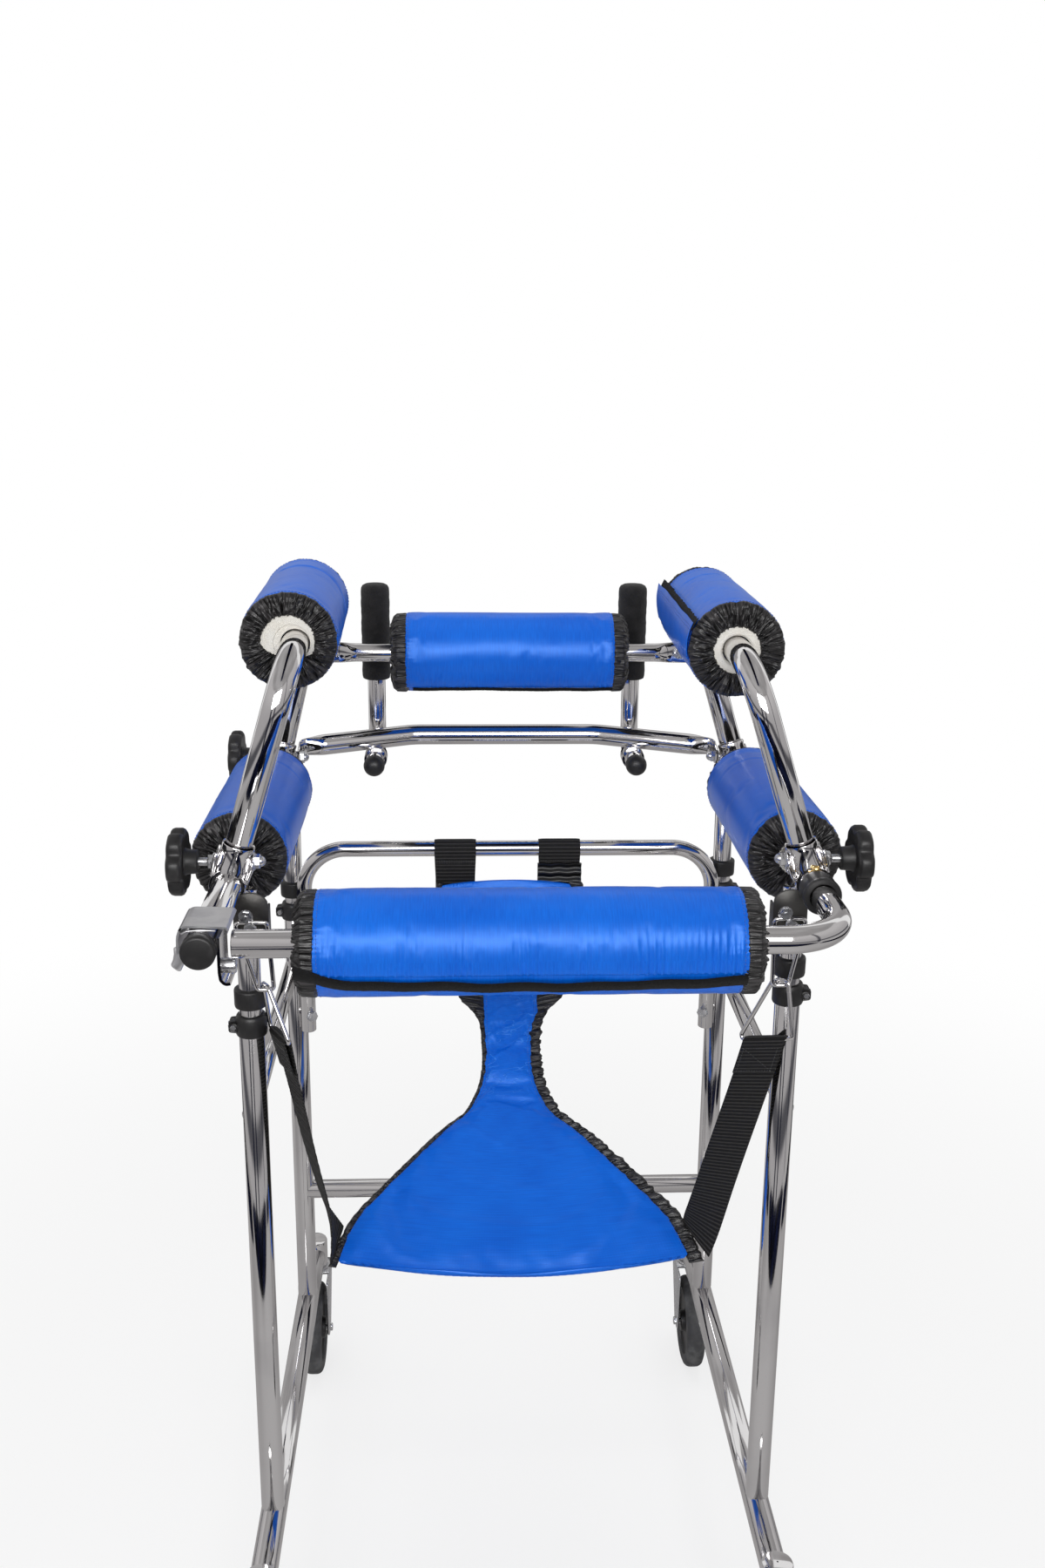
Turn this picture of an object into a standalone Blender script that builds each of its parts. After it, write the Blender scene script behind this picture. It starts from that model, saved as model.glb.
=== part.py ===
"""Hemiplegic rollator: a chromed walking frame with six padded rolls, on four castors.

Metres, +Z up, X to the user's right, +Y the way the user walks.
The user steps in over the gate, which is the bar at the -Y end.
"""
import math
import bpy
import bmesh
from mathutils import Matrix, Vector

# Driving sizes. Places along Y are measured from the gate bar, heights from the floor.
RAIL_HEIGHT = 0.900        # axis of the side rails and of the gate bar
RAIL_SPREAD = 0.568        # between the two rail axes
GATE_Y = -0.3202           # gate bar axis in the part's frame, which is centred on the whole
NEAR_LEG = 0.160           # near posts and near clamps, from the gate bar
FAR_LEG = 0.550            # far posts and far clamps
POST_SPREAD = 0.537        # between the left and right posts
RAIL_OD = 0.0286
GATE_OD = 0.0254
LOOP_OD = 0.0270
POST_OD = 0.0254
INNER_OD = 0.0222
STRETCHER_OD = 0.0190
HANDLE_OD = 0.0220
WIRE_OD = 0.0045
BRACKET_INSET = 0.0065     # bracket middle, inwards of the post's axis
BRACKET_BOLT_DROP = 0.026  # bolt the bails hang on, below the rails
BRACKET_SHANK = 0.007
BAIL_DROP = 0.104
BAIL_FOOT = {"left": 0.250, "right": 0.2555}   # its lowest point from the centre plane
RING_HEIGHT = 0.052
RING_HALF = 0.032
RING_TURN = {"left": -76.0, "right": -38.0}   # as they hang in the photograph, degrees
GAP = 0.0003               # what touching pieces keep between them
SLIDE = 0.0002             # running clearance of a sliding tube, on the radius
GATE_END = 0.0122          # gate bar's left end from the left rail's side

RAIL_START = {"left": -0.020, "right": 0.107}
RAIL_END = 0.592
LOOP_RISE = {"left": 0.217, "right": 0.211}      # arm loop tops above the rails, as set in the photograph
LOOP_NEAR_IN = {"left": 0.220, "right": 0.216}   # their near and far corners from the centre plane
LOOP_FAR_IN = {"left": 0.233, "right": 0.224}
LOOP_FAR_REACH = 0.592     # far corners of the arm loops
LOOP_BEND = 0.055

PAD_OD = 0.096             # gate roll
CHEST_PAD_OD = 0.098
SIDE_PAD_OD = 0.100
UPPER_PAD_SHIFT = {"left": (-0.007, 0.0, 0.002), "right": (0.0, 0.0, 0.0)}   # sleeve off its tube
SIDE_PAD_LENGTH = 0.278
UPPER_PAD_START = 0.245
LOWER_PAD_START = 0.222
GATE_PAD_LENGTH = 0.404
CHEST_PAD_LENGTH = 0.284

CHEST_OD = 0.0222
CHEST_SET_BACK = 0.0018    # chest bar's lugs behind the loop legs' middle
CHEST_RISE = 0.147
CROSSBAR_OD = 0.0254
CROSSBAR_REACH = 0.622
CROSSBAR_RISE = 0.0325
CROSSBAR_FLAT = 0.230      # its straight middle
HANDLE_SPREAD = 0.3235
CROSSBAR_MIDDLE = -0.004   # the bowed bar hangs a little to the left in the photograph
GRIP_OD = 0.036
GRIP_LENGTH = 0.121
GRIP_TOP = 0.221           # above the rails

CLAMP_WALL = 0.0030
CLAMP_WIDTH = 0.030
BOLT_OD = 0.008
BOLT_RISE = 0.0210         # clamp bolts above the rail axis
KNOB_OD = 0.066
KNOB_THICK = 0.024
KNOB_AT = 0.327            # knob middle from the centre plane
KNOB_LOBES = 6

COLLAR_DROP = {"left": 0.140, "right": 0.111}   # near outer tube tops below the rails
FAR_COLLAR_DROP = {"left": 0.166, "right": 0.141}
COLLAR_OD = 0.0320
LOCK_INSERT = 0.230        # how deep the inner tubes reach at rest
STRETCHER_DROP = 0.250
STRETCHER_OUT = 0.0045     # outwards of the posts' axes, clear of the strap bar
STRAP_BAR_REACH = 0.529
STRAP_BAR_DROP = 0.089
STRAP_BAR_SPREAD = 0.506
STRAP_BAR_TAIL = 0.330
BASE_HEIGHT = 0.162        # axis of the two base rails
BASE_OD = 0.0286
BASE_START = 0.050
BASE_END = 0.660
FRONT_BAR_HEIGHT = 0.330
WHEEL_OD = 0.125
WHEEL_WIDTH = 0.030
TRAIL = 0.034              # castor axle behind its stem
PEDAL_RISE = 0.011         # pedal hinge above the wheel
PIN_OD = 0.005
BRAKE_TURN = 12.0          # degrees that lay the pedal's shoe on the tyre
STEM_OD = 0.011

SIDES = ("left", "right")
TAU = math.tau

for item in list(bpy.data.objects):
    bpy.data.objects.remove(item, do_unlink=True)


def new_collection(name):
    group = bpy.data.collections.new(name)
    bpy.context.scene.collection.children.link(group)
    return group


PARTS = new_collection("hemiplegic_rollator")
CUTTERS = new_collection("cutters")


def material(name, colour, roughness, metallic=0.0):
    shade = bpy.data.materials.new(name)
    shade.use_nodes = True
    bsdf = shade.node_tree.nodes["Principled BSDF"]
    bsdf.inputs["Base Color"].default_value = (*colour, 1.0)
    bsdf.inputs["Roughness"].default_value = roughness
    bsdf.inputs["Metallic"].default_value = metallic
    shade.diffuse_color = (*colour, 1.0)
    return shade


CHROME = material("chrome", (0.80, 0.80, 0.82), 0.12, 1.0)
STEEL = material("zinc_steel", (0.55, 0.56, 0.58), 0.35, 1.0)
BRASS = material("brass", (0.72, 0.52, 0.20), 0.30, 1.0)
BLACK = material("black_plastic", (0.025, 0.025, 0.027), 0.45)
FOAM = material("black_foam", (0.020, 0.020, 0.022), 0.85)
NYLON = material("blue_nylon", (0.015, 0.125, 0.68), 0.45)
WEBBING = material("black_webbing", (0.018, 0.018, 0.020), 0.70)
RUBBER = material("grey_rubber", (0.11, 0.11, 0.115), 0.70)


def side_sign(side):
    """The way outwards along X."""
    return 1.0 if side == "right" else -1.0


def world(x, y, z):
    """A place given from the centre plane, the gate bar and the rail axis."""
    return Vector((x, GATE_Y + y, RAIL_HEIGHT + z))


def settle(obj, name, shade, group=PARTS):
    for owner in list(obj.users_collection):
        owner.objects.unlink(obj)
    group.objects.link(obj)
    obj.name = name
    obj.data.name = name
    obj.data.materials.clear()
    obj.data.materials.append(shade)
    return obj


def mesh_object(name, bm, shade, angle=35.0, group=PARTS):
    bmesh.ops.recalc_face_normals(bm, faces=bm.faces)
    if bm.calc_volume(signed=True) < 0:
        bmesh.ops.reverse_faces(bm, faces=bm.faces)
    mesh = bpy.data.meshes.new(name)
    bm.to_mesh(mesh)
    bm.free()
    mesh.shade_smooth()
    mesh.set_sharp_from_angle(angle=math.radians(angle))
    obj = bpy.data.objects.new(name, mesh)
    return settle(obj, name, shade, group)


def rounded(points, bends, step=math.radians(18)):
    """The corner points of a path with each inner corner replaced by an arc."""
    path = [Vector(points[0])]
    for before, here, after, radius in zip(points, points[1:], points[2:], bends):
        here = Vector(here)
        inward, outward = (here - Vector(before)).normalized(), (Vector(after) - here).normalized()
        turn = inward.angle(outward)
        trim = radius * math.tan(turn / 2)
        axis = inward.cross(outward).normalized()
        centre = here - inward * trim + axis.cross(inward) * radius
        arm = here - inward * trim - centre
        count = max(2, math.ceil(turn / step))
        path += [centre + Matrix.Rotation(turn * i / count, 3, axis) @ arm for i in range(count + 1)]
    path.append(Vector(points[-1]))
    return path


def curve_mesh(name, curve):
    """The welded mesh of a curve, which is then removed."""
    holder = bpy.data.objects.new(name, curve)
    PARTS.objects.link(holder)
    graph = bpy.context.evaluated_depsgraph_get()
    mesh = bpy.data.meshes.new_from_object(holder.evaluated_get(graph))
    bpy.data.objects.remove(holder, do_unlink=True)
    bpy.data.curves.remove(curve)
    bm = bmesh.new()
    bm.from_mesh(mesh)
    bpy.data.meshes.remove(mesh)
    bmesh.ops.remove_doubles(bm, verts=bm.verts, dist=0.00002)
    return bm


def tube(name, path, diameter, shade, res=4, cyclic=False):
    """A bent rod with flat caps: a poly curve with a round bevel, welded to a mesh."""
    curve = bpy.data.curves.new(name, "CURVE")
    curve.dimensions = "3D"
    curve.bevel_depth = diameter / 2
    curve.bevel_resolution = res
    curve.use_fill_caps = True
    spline = curve.splines.new("POLY")
    spline.points.add(len(path) - 1)
    for point, place in zip(spline.points, path):
        point.co = (*place, 1.0)
    spline.use_cyclic_u = cyclic
    return mesh_object(name, curve_mesh(name, curve), shade)


def rod(name, start, end, diameter, shade, sides=14, group=PARTS):
    """A straight round bar between two places."""
    start, end = Vector(start), Vector(end)
    bm = bmesh.new()
    turn = (end - start).to_track_quat("Z", "Y").to_matrix().to_4x4()
    place = Matrix.Translation((start + end) / 2) @ turn
    bmesh.ops.create_cone(bm, cap_ends=True, segments=sides, radius1=diameter / 2,
                          radius2=diameter / 2, depth=(end - start).length, matrix=place)
    return mesh_object(name, bm, shade, group=group)


def block(name, low, high, shade, bevel=0.0, group=PARTS):
    """A box between two corners, its edges rounded by the bevel."""
    low, high = Vector(low), Vector(high)
    bm = bmesh.new()
    size = Matrix.Diagonal((*(high - low), 1.0))
    bmesh.ops.create_cube(bm, size=1.0, matrix=Matrix.Translation((low + high) / 2) @ size)
    obj = mesh_object(name, bm, shade, group=group)
    if bevel:
        edge = obj.modifiers.new("rounded_edges", "BEVEL")
        edge.width = bevel
        edge.segments = 2
    return obj


def flat(name, outline, low, high, across, shade):
    """A flat outline given a thickness: across X it holds (y, z) pairs, across Y (x, z) pairs."""
    curve = bpy.data.curves.new(name, "CURVE")
    curve.dimensions = "2D"
    curve.fill_mode = "BOTH"
    curve.extrude = (high - low) / 2
    spline = curve.splines.new("POLY")
    spline.points.add(len(outline) - 1)
    for point, (u, v) in zip(spline.points, outline):
        point.co = (u, v, 0.0, 1.0)
    spline.use_cyclic_u = True
    bm = curve_mesh(name, curve)
    middle = (low + high) / 2
    if across == "X":
        axes = Matrix(((0, 0, 1, middle), (1, 0, 0, GATE_Y), (0, 1, 0, RAIL_HEIGHT), (0, 0, 0, 1)))
    else:
        axes = Matrix(((1, 0, 0, 0), (0, 0, -1, GATE_Y + middle), (0, 1, 0, RAIL_HEIGHT), (0, 0, 0, 1)))
    bm.transform(axes)
    return mesh_object(name, bm, shade)


def plate(name, outline, low_x, high_x, shade=STEEL):
    return flat(name, outline, low_x, high_x, "X", shade)


def face_plate(name, outline, low_y, high_y, shade=STEEL):
    return flat(name, outline, low_y, high_y, "Y", shade)


def turned(name, profile, place, axis, shade, sides=24, group=PARTS):
    """A turned body: the profile holds (radius, along) pairs, top to bottom, and may be a ring."""
    bm = bmesh.new()
    closed = profile[0][0] > 0
    ring = [bm.verts.new((radius, 0.0, along)) for radius, along in profile]
    for one, two in zip(ring, ring[1:] + ring[:1] if closed else ring[1:]):
        bm.edges.new((one, two))
    mesh = bpy.data.meshes.new(name)
    bm.to_mesh(mesh)
    bm.free()
    obj = settle(bpy.data.objects.new(name, mesh), name, shade, group)
    screw = obj.modifiers.new("turned", "SCREW")
    screw.axis = "Z"
    screw.steps = screw.render_steps = sides
    screw.use_merge_vertices = True
    screw.merge_threshold = 0.00001
    screw.use_smooth_shade = True
    obj.matrix_world = Matrix.Translation(place) @ Vector(axis).to_track_quat("Z", "Y").to_matrix().to_4x4()
    return obj


def combine(obj, other, operation="UNION"):
    """A Boolean of two objects, applied, with the second one removed."""
    bpy.context.view_layer.update()
    change = obj.modifiers.new("combine", "BOOLEAN")
    change.operation = operation
    change.solver = "EXACT"
    change.object = other
    graph = bpy.context.evaluated_depsgraph_get()
    mesh = bpy.data.meshes.new_from_object(obj.evaluated_get(graph))
    obj.modifiers.clear()
    bm = bmesh.new()
    bm.from_mesh(mesh)
    bmesh.ops.remove_doubles(bm, verts=bm.verts, dist=0.00005)
    bmesh.ops.dissolve_degenerate(bm, edges=bm.edges, dist=0.00002)
    bm.to_mesh(mesh)
    bm.free()
    old = obj.data
    shade = old.materials[0]
    obj.data = mesh
    bpy.data.meshes.remove(old)
    mesh.materials.clear()
    mesh.materials.append(shade)
    for face in mesh.polygons:
        face.material_index = 0
    mesh.name = obj.name
    mesh.shade_smooth()
    mesh.set_sharp_from_angle(angle=math.radians(35))
    bpy.data.objects.remove(other, do_unlink=True)
    return obj


def cut(obj, other):
    return combine(obj, other, "DIFFERENCE")


def hang(pivot_name, place, *objects):
    """Parents pieces to an empty on their joint's axis and leaves them where they are."""
    pivot = bpy.data.objects.new(pivot_name, None)
    pivot.empty_display_size = 0.03
    pivot.location = place
    PARTS.objects.link(pivot)
    for obj in objects:
        obj.parent = pivot
        obj.matrix_parent_inverse = Matrix.Translation(-Vector(place))
    return pivot


def post_x(side):
    return side_sign(side) * POST_SPREAD / 2


def rail_x(side):
    return side_sign(side) * RAIL_SPREAD / 2


def loop_axis(side, far):
    """Foot on the rail axis and top corner of one leg of an arm loop."""
    top_x = side_sign(side) * (LOOP_FAR_IN if far else LOOP_NEAR_IN)[side]
    foot = world(rail_x(side), FAR_LEG if far else NEAR_LEG, 0.0)
    top = world(top_x, LOOP_FAR_REACH if far else NEAR_LEG, LOOP_RISE[side])
    return foot, top


def loop_at(side, far, rise):
    """Where a loop leg's axis is at a height above the rails."""
    foot, top = loop_axis(side, far)
    return foot.lerp(top, rise / LOOP_RISE[side])


# Base frame: base rails, posts, stretchers, cross members and the strap bar.

def base_rail(side):
    x = post_x(side)
    z = BASE_HEIGHT - RAIL_HEIGHT
    rail = rod(f"{side}_base_rail", world(x, BASE_START, z), world(x, BASE_END, z), BASE_OD, CHROME)
    for y in (BASE_START, BASE_END):
        socket = rod("socket", world(x, y, z - 0.017), world(x, y, z + 0.022), BASE_OD + 0.005, CHROME, 16)
        combine(rail, socket)
        cut(rail, rod("stem_bore", world(x, y, z - 0.030), world(x, y, z + 0.012),
                      STEM_OD + 2 * GAP, STEEL, 10, CUTTERS))
    return rail


def outer_post(side, far):
    """A post tube with its clamp collar, open at the top for the inner tube."""
    x, y = post_x(side), FAR_LEG if far else NEAR_LEG
    drop = (FAR_COLLAR_DROP if far else COLLAR_DROP)[side]
    foot = BASE_HEIGHT - RAIL_HEIGHT
    name = f"{side}_{'far' if far else 'near'}_outer_post"
    post = rod(name, world(x, y, foot), world(x, y, -drop + 0.002), POST_OD, CHROME, 16)
    cut(post, rod("base_rail_room", world(x, y - 0.1, foot), world(x, y + 0.1, foot),
                  BASE_OD + 2 * GAP, CHROME, 16, CUTTERS))
    collar = rod("collar", world(x, y, -drop - 0.020), world(x, y, -drop), COLLAR_OD, BLACK, 16)
    combine(post, collar)
    reach = side_sign(side) * (COLLAR_OD / 2 + 0.006)
    lug = block("lug", world(min(x, x + reach), y - 0.007, -drop - 0.017),
                world(max(x, x + reach), y + 0.007, -drop - 0.003), BLACK)
    combine(post, lug)
    bore = rod("bore", world(x, y, -drop + 0.01), world(x, y, -drop - LOCK_INSERT - 0.020),
               INNER_OD + 2 * SLIDE, CHROME, 16, CUTTERS)
    return cut(post, bore)


def stretcher(side):
    x, z = post_x(side) + side_sign(side) * STRETCHER_OUT, -STRETCHER_DROP
    bar = rod(f"{side}_side_stretcher", world(x, NEAR_LEG, z), world(x, FAR_LEG, z), STRETCHER_OD, CHROME)
    for y in (NEAR_LEG, FAR_LEG):
        cut(bar, rod("post_room", world(post_x(side), y, z - 0.03), world(post_x(side), y, z + 0.03),
                     POST_OD + 2 * GAP, CHROME, 16, CUTTERS))
    return bar


def front_bar():
    z = FRONT_BAR_HEIGHT - RAIL_HEIGHT
    half = POST_SPREAD / 2
    bar = rod("front_crossbar", world(-half, FAR_LEG, z), world(half, FAR_LEG, z), POST_OD - 0.0016, CHROME)
    for side in SIDES:
        cut(bar, rod("post_room", world(post_x(side), FAR_LEG, z - 0.03),
                     world(post_x(side), FAR_LEG, z + 0.03), POST_OD + 2 * GAP, CHROME, 16, CUTTERS))
    return bar


def strap_bar():
    """The hoop before the far posts that carries the sling's front loops, bolted to them."""
    half = STRAP_BAR_SPREAD / 2
    top, foot = -STRAP_BAR_DROP, -STRAP_BAR_TAIL
    corners = [(-half, foot), (-half, top), (half, top), (half, foot)]
    path = rounded([world(x, STRAP_BAR_REACH, z) for x, z in corners], (0.052, 0.052))
    bar = tube("strap_bar", path, STRETCHER_OD, CHROME, 3)
    for side in SIDES:
        sign = side_sign(side)
        leg = world(sign * half, STRAP_BAR_REACH, -STRAP_BAR_TAIL + 0.022)
        post = world(post_x(side), FAR_LEG, -STRAP_BAR_TAIL + 0.022)
        out = (post - leg).normalized()
        combine(bar, rod("spacer", leg, post - out * (POST_OD / 2 + GAP), 0.011, CHROME, 10))
        combine(bar, rod("bolt_head", leg, leg - out * (STRETCHER_OD / 2 + 0.005), 0.011, STEEL, 6))
    return bar


def castor(side, far):
    """Fork, wheel and, on the near pair, the brake pedal."""
    tag = f"{side}_{'far' if far else 'near'}"
    x = post_x(side)
    y = BASE_END if far else BASE_START
    stem = world(x, y, 0)
    axle = world(x, y - TRAIL, WHEEL_OD / 2 - RAIL_HEIGHT)
    hub = WHEEL_OD / 2 - RAIL_HEIGHT
    crown = BASE_HEIGHT - RAIL_HEIGHT - 0.017 - GAP
    fork = rod(f"{tag}_castor_fork", world(x, y, crown - 0.008), world(x, y, crown), 0.040, STEEL, 12)
    combine(fork, rod("stem", world(x, y, crown - 0.004), world(x, y, crown + 0.026), STEM_OD, STEEL, 10))
    inner = WHEEL_WIDTH / 2 + 0.003
    for sign in (-1, 1):
        low, high = sorted((x + sign * inner, x + sign * (inner + 0.003)))
        outline = [(y - 0.019, crown - 0.004), (y + 0.019, crown - 0.004), (y - TRAIL + 0.012, hub - 0.008),
                   (y - TRAIL - 0.012, hub - 0.008), (y - TRAIL - 0.014, hub + WHEEL_OD / 2 + PEDAL_RISE + 0.006)]
        combine(fork, plate("cheek", outline, low, high))
    bridge = block("bridge", world(x - inner - 0.0025, y - 0.0185, crown - 0.0075),
                   world(x + inner + 0.0025, y + 0.0185, crown - 0.003), STEEL)
    combine(fork, bridge)
    pin = Vector((inner + 0.006, 0, 0))
    combine(fork, rod("axle", axle - pin, axle + pin, 0.008, STEEL, 8))
    if not far:
        middle = world(x, *pedal_hinge(y))
        combine(fork, rod("pedal_pin", middle - pin, middle + pin, PIN_OD, STEEL, 8))
    half = WHEEL_WIDTH / 2
    tyre = WHEEL_OD / 2
    profile = [(0.0043, half), (0.014, half), (0.016, half - 0.007), (tyre - 0.019, half - 0.008),
               (tyre - 0.014, half - 0.002), (tyre, half - 0.009)]
    profile += [(radius, -along) for radius, along in reversed(profile)]
    wheel = turned(f"{tag}_castor_wheel", profile, axle, (1, 0, 0), RUBBER, 20)
    pieces = [fork, wheel]
    if not far:
        pieces.append(brake_pedal(tag, x, y))
    hang(f"{tag}_castor_pivot", stem, *pieces)


def pedal_hinge(y):
    """Where a pedal's pin lies behind a castor stem, as Y and Z."""
    return Vector((y - TRAIL - 0.006, WHEEL_OD + PEDAL_RISE - RAIL_HEIGHT))


def brake_pedal(tag, x, y):
    """A foot pedal hinged between the fork's cheeks: BRAKE_TURN lays its shoe on the tyre."""
    hinge = pedal_hinge(y)
    axle = Vector((y - TRAIL, WHEEL_OD / 2 - RAIL_HEIGHT))
    half = WHEEL_WIDTH / 2 + 0.003 - GAP
    spots = ((0.007, -0.005), (0.007, 0.005), (-0.028, 0.007), (-0.048, 0.002), (-0.049, -0.003), (-0.028, 0.001))
    outline = [hinge + Vector(spot) for spot in spots]
    lift = Matrix.Rotation(-math.radians(BRAKE_TURN), 2)
    for behind in (0.026, 0.021, 0.016):
        rise = math.sqrt((WHEEL_OD / 2 + GAP) ** 2 - behind ** 2)
        outline.append(hinge + lift @ (axle + Vector((-behind, rise)) - hinge))
    pedal = plate(f"{tag}_brake_pedal", outline, x - half, x + half, BLACK)
    reach = Vector((0.03, 0, 0))
    middle = world(x, *hinge)
    cut(pedal, rod("pin_bore", middle - reach, middle + reach, PIN_OD + 2 * GAP, BLACK, 10, CUTTERS))
    return hang(f"{tag}_pedal_pivot", world(x, *hinge), pedal)


# Upper frame: inner tubes, rails, clamps and arm loops.

def inner_post(side, far):
    """A telescoping tube with its stop ring; the near ones carry the bail bracket."""
    x, y = post_x(side), FAR_LEG if far else NEAR_LEG
    drop = (FAR_COLLAR_DROP if far else COLLAR_DROP)[side]
    name = f"{side}_{'far' if far else 'near'}_inner_post"
    post = rod(name, world(x, y, 0.0), world(x, y, -drop - LOCK_INSERT), INNER_OD, CHROME, 16)
    ring = rod("stop_ring", world(x, y, -drop + 0.010), world(x, y, -drop + 0.030), COLLAR_OD, BLACK, 16)
    combine(post, ring)
    if not far:
        combine(post, bracket(side))
    cut(post, rod("rail_room", world(rail_x(side), y - 0.1, 0), world(rail_x(side), y + 0.1, 0),
                  RAIL_OD + 2 * CLAMP_WALL + 2 * GAP, CHROME, 16, CUTTERS))
    return post


def bracket(side):
    """The channel plate behind a near post, with the bolt its bail hangs on."""
    x, sign = post_x(side) - side_sign(side) * BRACKET_INSET, side_sign(side)
    front = NEAR_LEG - CLAMP_WIDTH / 2 - GAP
    outline = [(x - 0.017, -0.066), (x - 0.017, -0.018)]
    outline += [(x - 0.017 * math.cos(a), -0.018 + 0.013 * math.sin(a)) for a in (0.6, 1.1, 1.57, 2.04, 2.54)]
    outline += [(x + 0.017, -0.018), (x + 0.017, -0.066)]
    plate_back = front - 0.003
    body = face_plate("bracket", outline, plate_back, front)
    flange_x = sorted((x - sign * 0.0145, x - sign * 0.017))
    combine(body, block("flange", world(flange_x[0], front - 0.001, -0.065),
                        world(flange_x[1], front + 0.016, -0.020), STEEL))
    web_x = sorted((x - sign * 0.002, x + sign * 0.014))
    combine(body, block("web", world(web_x[0], front - 0.001, -0.062),
                        world(web_x[1], NEAR_LEG - INNER_OD / 2 + 0.004, -0.024), STEEL))
    bolt = world(x, plate_back, -BRACKET_BOLT_DROP)
    head = bolt - Vector((0, WIRE_OD + 2 * GAP, 0))
    lap = Vector((0, 0.001, 0))
    combine(body, rod("shank", bolt + lap, head - lap, BRACKET_SHANK, STEEL, 10))
    return combine(body, rod("bolt_head", head, head - Vector((0, 0.004, 0)), 0.014, STEEL, 6))


def rail(side):
    x = rail_x(side)
    start = RAIL_START[side]
    bar = rod(f"{side}_rail", world(x, start, 0), world(x, RAIL_END, 0), RAIL_OD, CHROME, 16)
    if side == "left":
        cap = turned("cap", [(0, 0.003), (0.0125, 0.003), (0.0155, 0.001), (0.0155, -0.004), (0, -0.004)],
                     world(x, start, 0), (0, -1, 0), BLACK, 16)
        return combine(bar, cap)
    collar = rod("collar", world(x, start - 0.001, 0), world(x, start + 0.026, 0), RAIL_OD + 0.008, BLACK, 24)
    combine(bar, collar)
    cut(bar, rod("gate_bore", world(x, start - 0.01, 0), world(x, start + 0.090, 0),
                 GATE_OD + 2 * GAP, CHROME, 16, CUTTERS))
    hole = world(x, start + 0.033, 0)
    return cut(bar, rod("button_hole", hole, hole + Vector((0, 0, 0.03)), 0.0088, CHROME, 10, CUTTERS))


def arm_loop(side):
    """The arched tube over a rail: both feet are coped to the rail, the top carries a roll."""
    near_foot, near_top = loop_axis(side, False)
    far_foot, far_top = loop_axis(side, True)
    path = rounded([near_foot, near_top, far_top, far_foot], (LOOP_BEND, LOOP_BEND))
    loop = tube(f"{side}_arm_loop", path, LOOP_OD, CHROME, 4)
    start = near_foot - Vector((0, 0.1, 0))
    end = far_foot + Vector((0, 0.1, 0))
    cut(loop, rod("rail_room", start, end, RAIL_OD + 2 * GAP, CHROME, 16, CUTTERS))
    low, high = Vector((-0.05, -0.05, -0.05)), Vector((0.05, 0.05, 0.0095))
    for foot in (near_foot, far_foot):
        cut(loop, block("foot_room", foot + low, foot + high, CHROME, group=CUTTERS))
        far = foot is far_foot
        middle = loop_at(side, far, BOLT_RISE)
        reach = Vector((0.03, 0, 0))
        cut(loop, rod("bolt_hole", middle - reach, middle + reach, BOLT_OD + 2 * GAP, CHROME, 10, CUTTERS))
    leg = loop_at(side, True, CHEST_RISE)
    leg.y = chest_y()
    inner = -side_sign(side)
    lug_x = sorted((leg.x + inner * 0.009, leg.x + inner * 0.048))
    lug = block("chest_lug", (lug_x[0], leg.y - 0.0015, leg.z - 0.012),
                (lug_x[1], leg.y + 0.0015, leg.z + 0.012), CHROME)
    combine(loop, lug)
    bolt_x = leg.x + inner * 0.034
    return cut(loop, rod("lug_hole", (bolt_x, leg.y - 0.01, leg.z), (bolt_x, leg.y + 0.01, leg.z),
                         0.0066, CHROME, 10, CUTTERS))


def clamp(side, far):
    """T clamp: a sleeve on the rail, a cuff round the loop's foot, lugs and the bolt."""
    foot, top = loop_axis(side, far)
    up = (top - foot).normalized()
    half = Vector((0, CLAMP_WIDTH / 2, 0))
    name = f"{side}_{'far' if far else 'near'}_clamp"
    body = rod(name, foot - half, foot + half, RAIL_OD + 2 * CLAMP_WALL, CHROME, 16)
    cuff_top = foot + up * 0.040
    combine(body, rod("cuff", foot, cuff_top, LOOP_OD + 2 * CLAMP_WALL, CHROME, 16))
    middle = loop_at(side, far, BOLT_RISE)
    sign = side_sign(side)
    outer = middle + Vector((sign * (LOOP_OD / 2 + CLAMP_WALL + 0.004), 0, 0))
    inner = middle - Vector((sign * (LOOP_OD / 2 + CLAMP_WALL + 0.004), 0, 0))
    combine(body, rod("boss", inner, outer, 0.016, CHROME, 10))
    cut(body, rod("rail_room", foot - half * 2, foot + half * 2, RAIL_OD + 2 * GAP, CHROME, 16, CUTTERS))
    cut(body, rod("loop_room", foot, foot + up * 0.08, LOOP_OD + 2 * GAP, CHROME, 16, CUTTERS))
    head = -sign
    bolt_end = Vector((sign * (KNOB_AT + 0.004), middle.y, middle.z))
    held = 0.004 + 2 * GAP if far else -0.001
    nut = inner + Vector((head * held, 0, 0))
    combine(body, rod("shank", nut + Vector((head * 0.003, 0, 0)), bolt_end, BOLT_OD, STEEL, 10))
    combine(body, rod("nut", nut, nut + Vector((head * 0.0075, 0, 0)), 0.0145, STEEL, 6))
    dome = nut + Vector((head * 0.007, 0, 0))
    return combine(body, rod("dome", dome, dome + Vector((head * 0.005, 0, 0)), 0.010, STEEL, 8))


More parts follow.
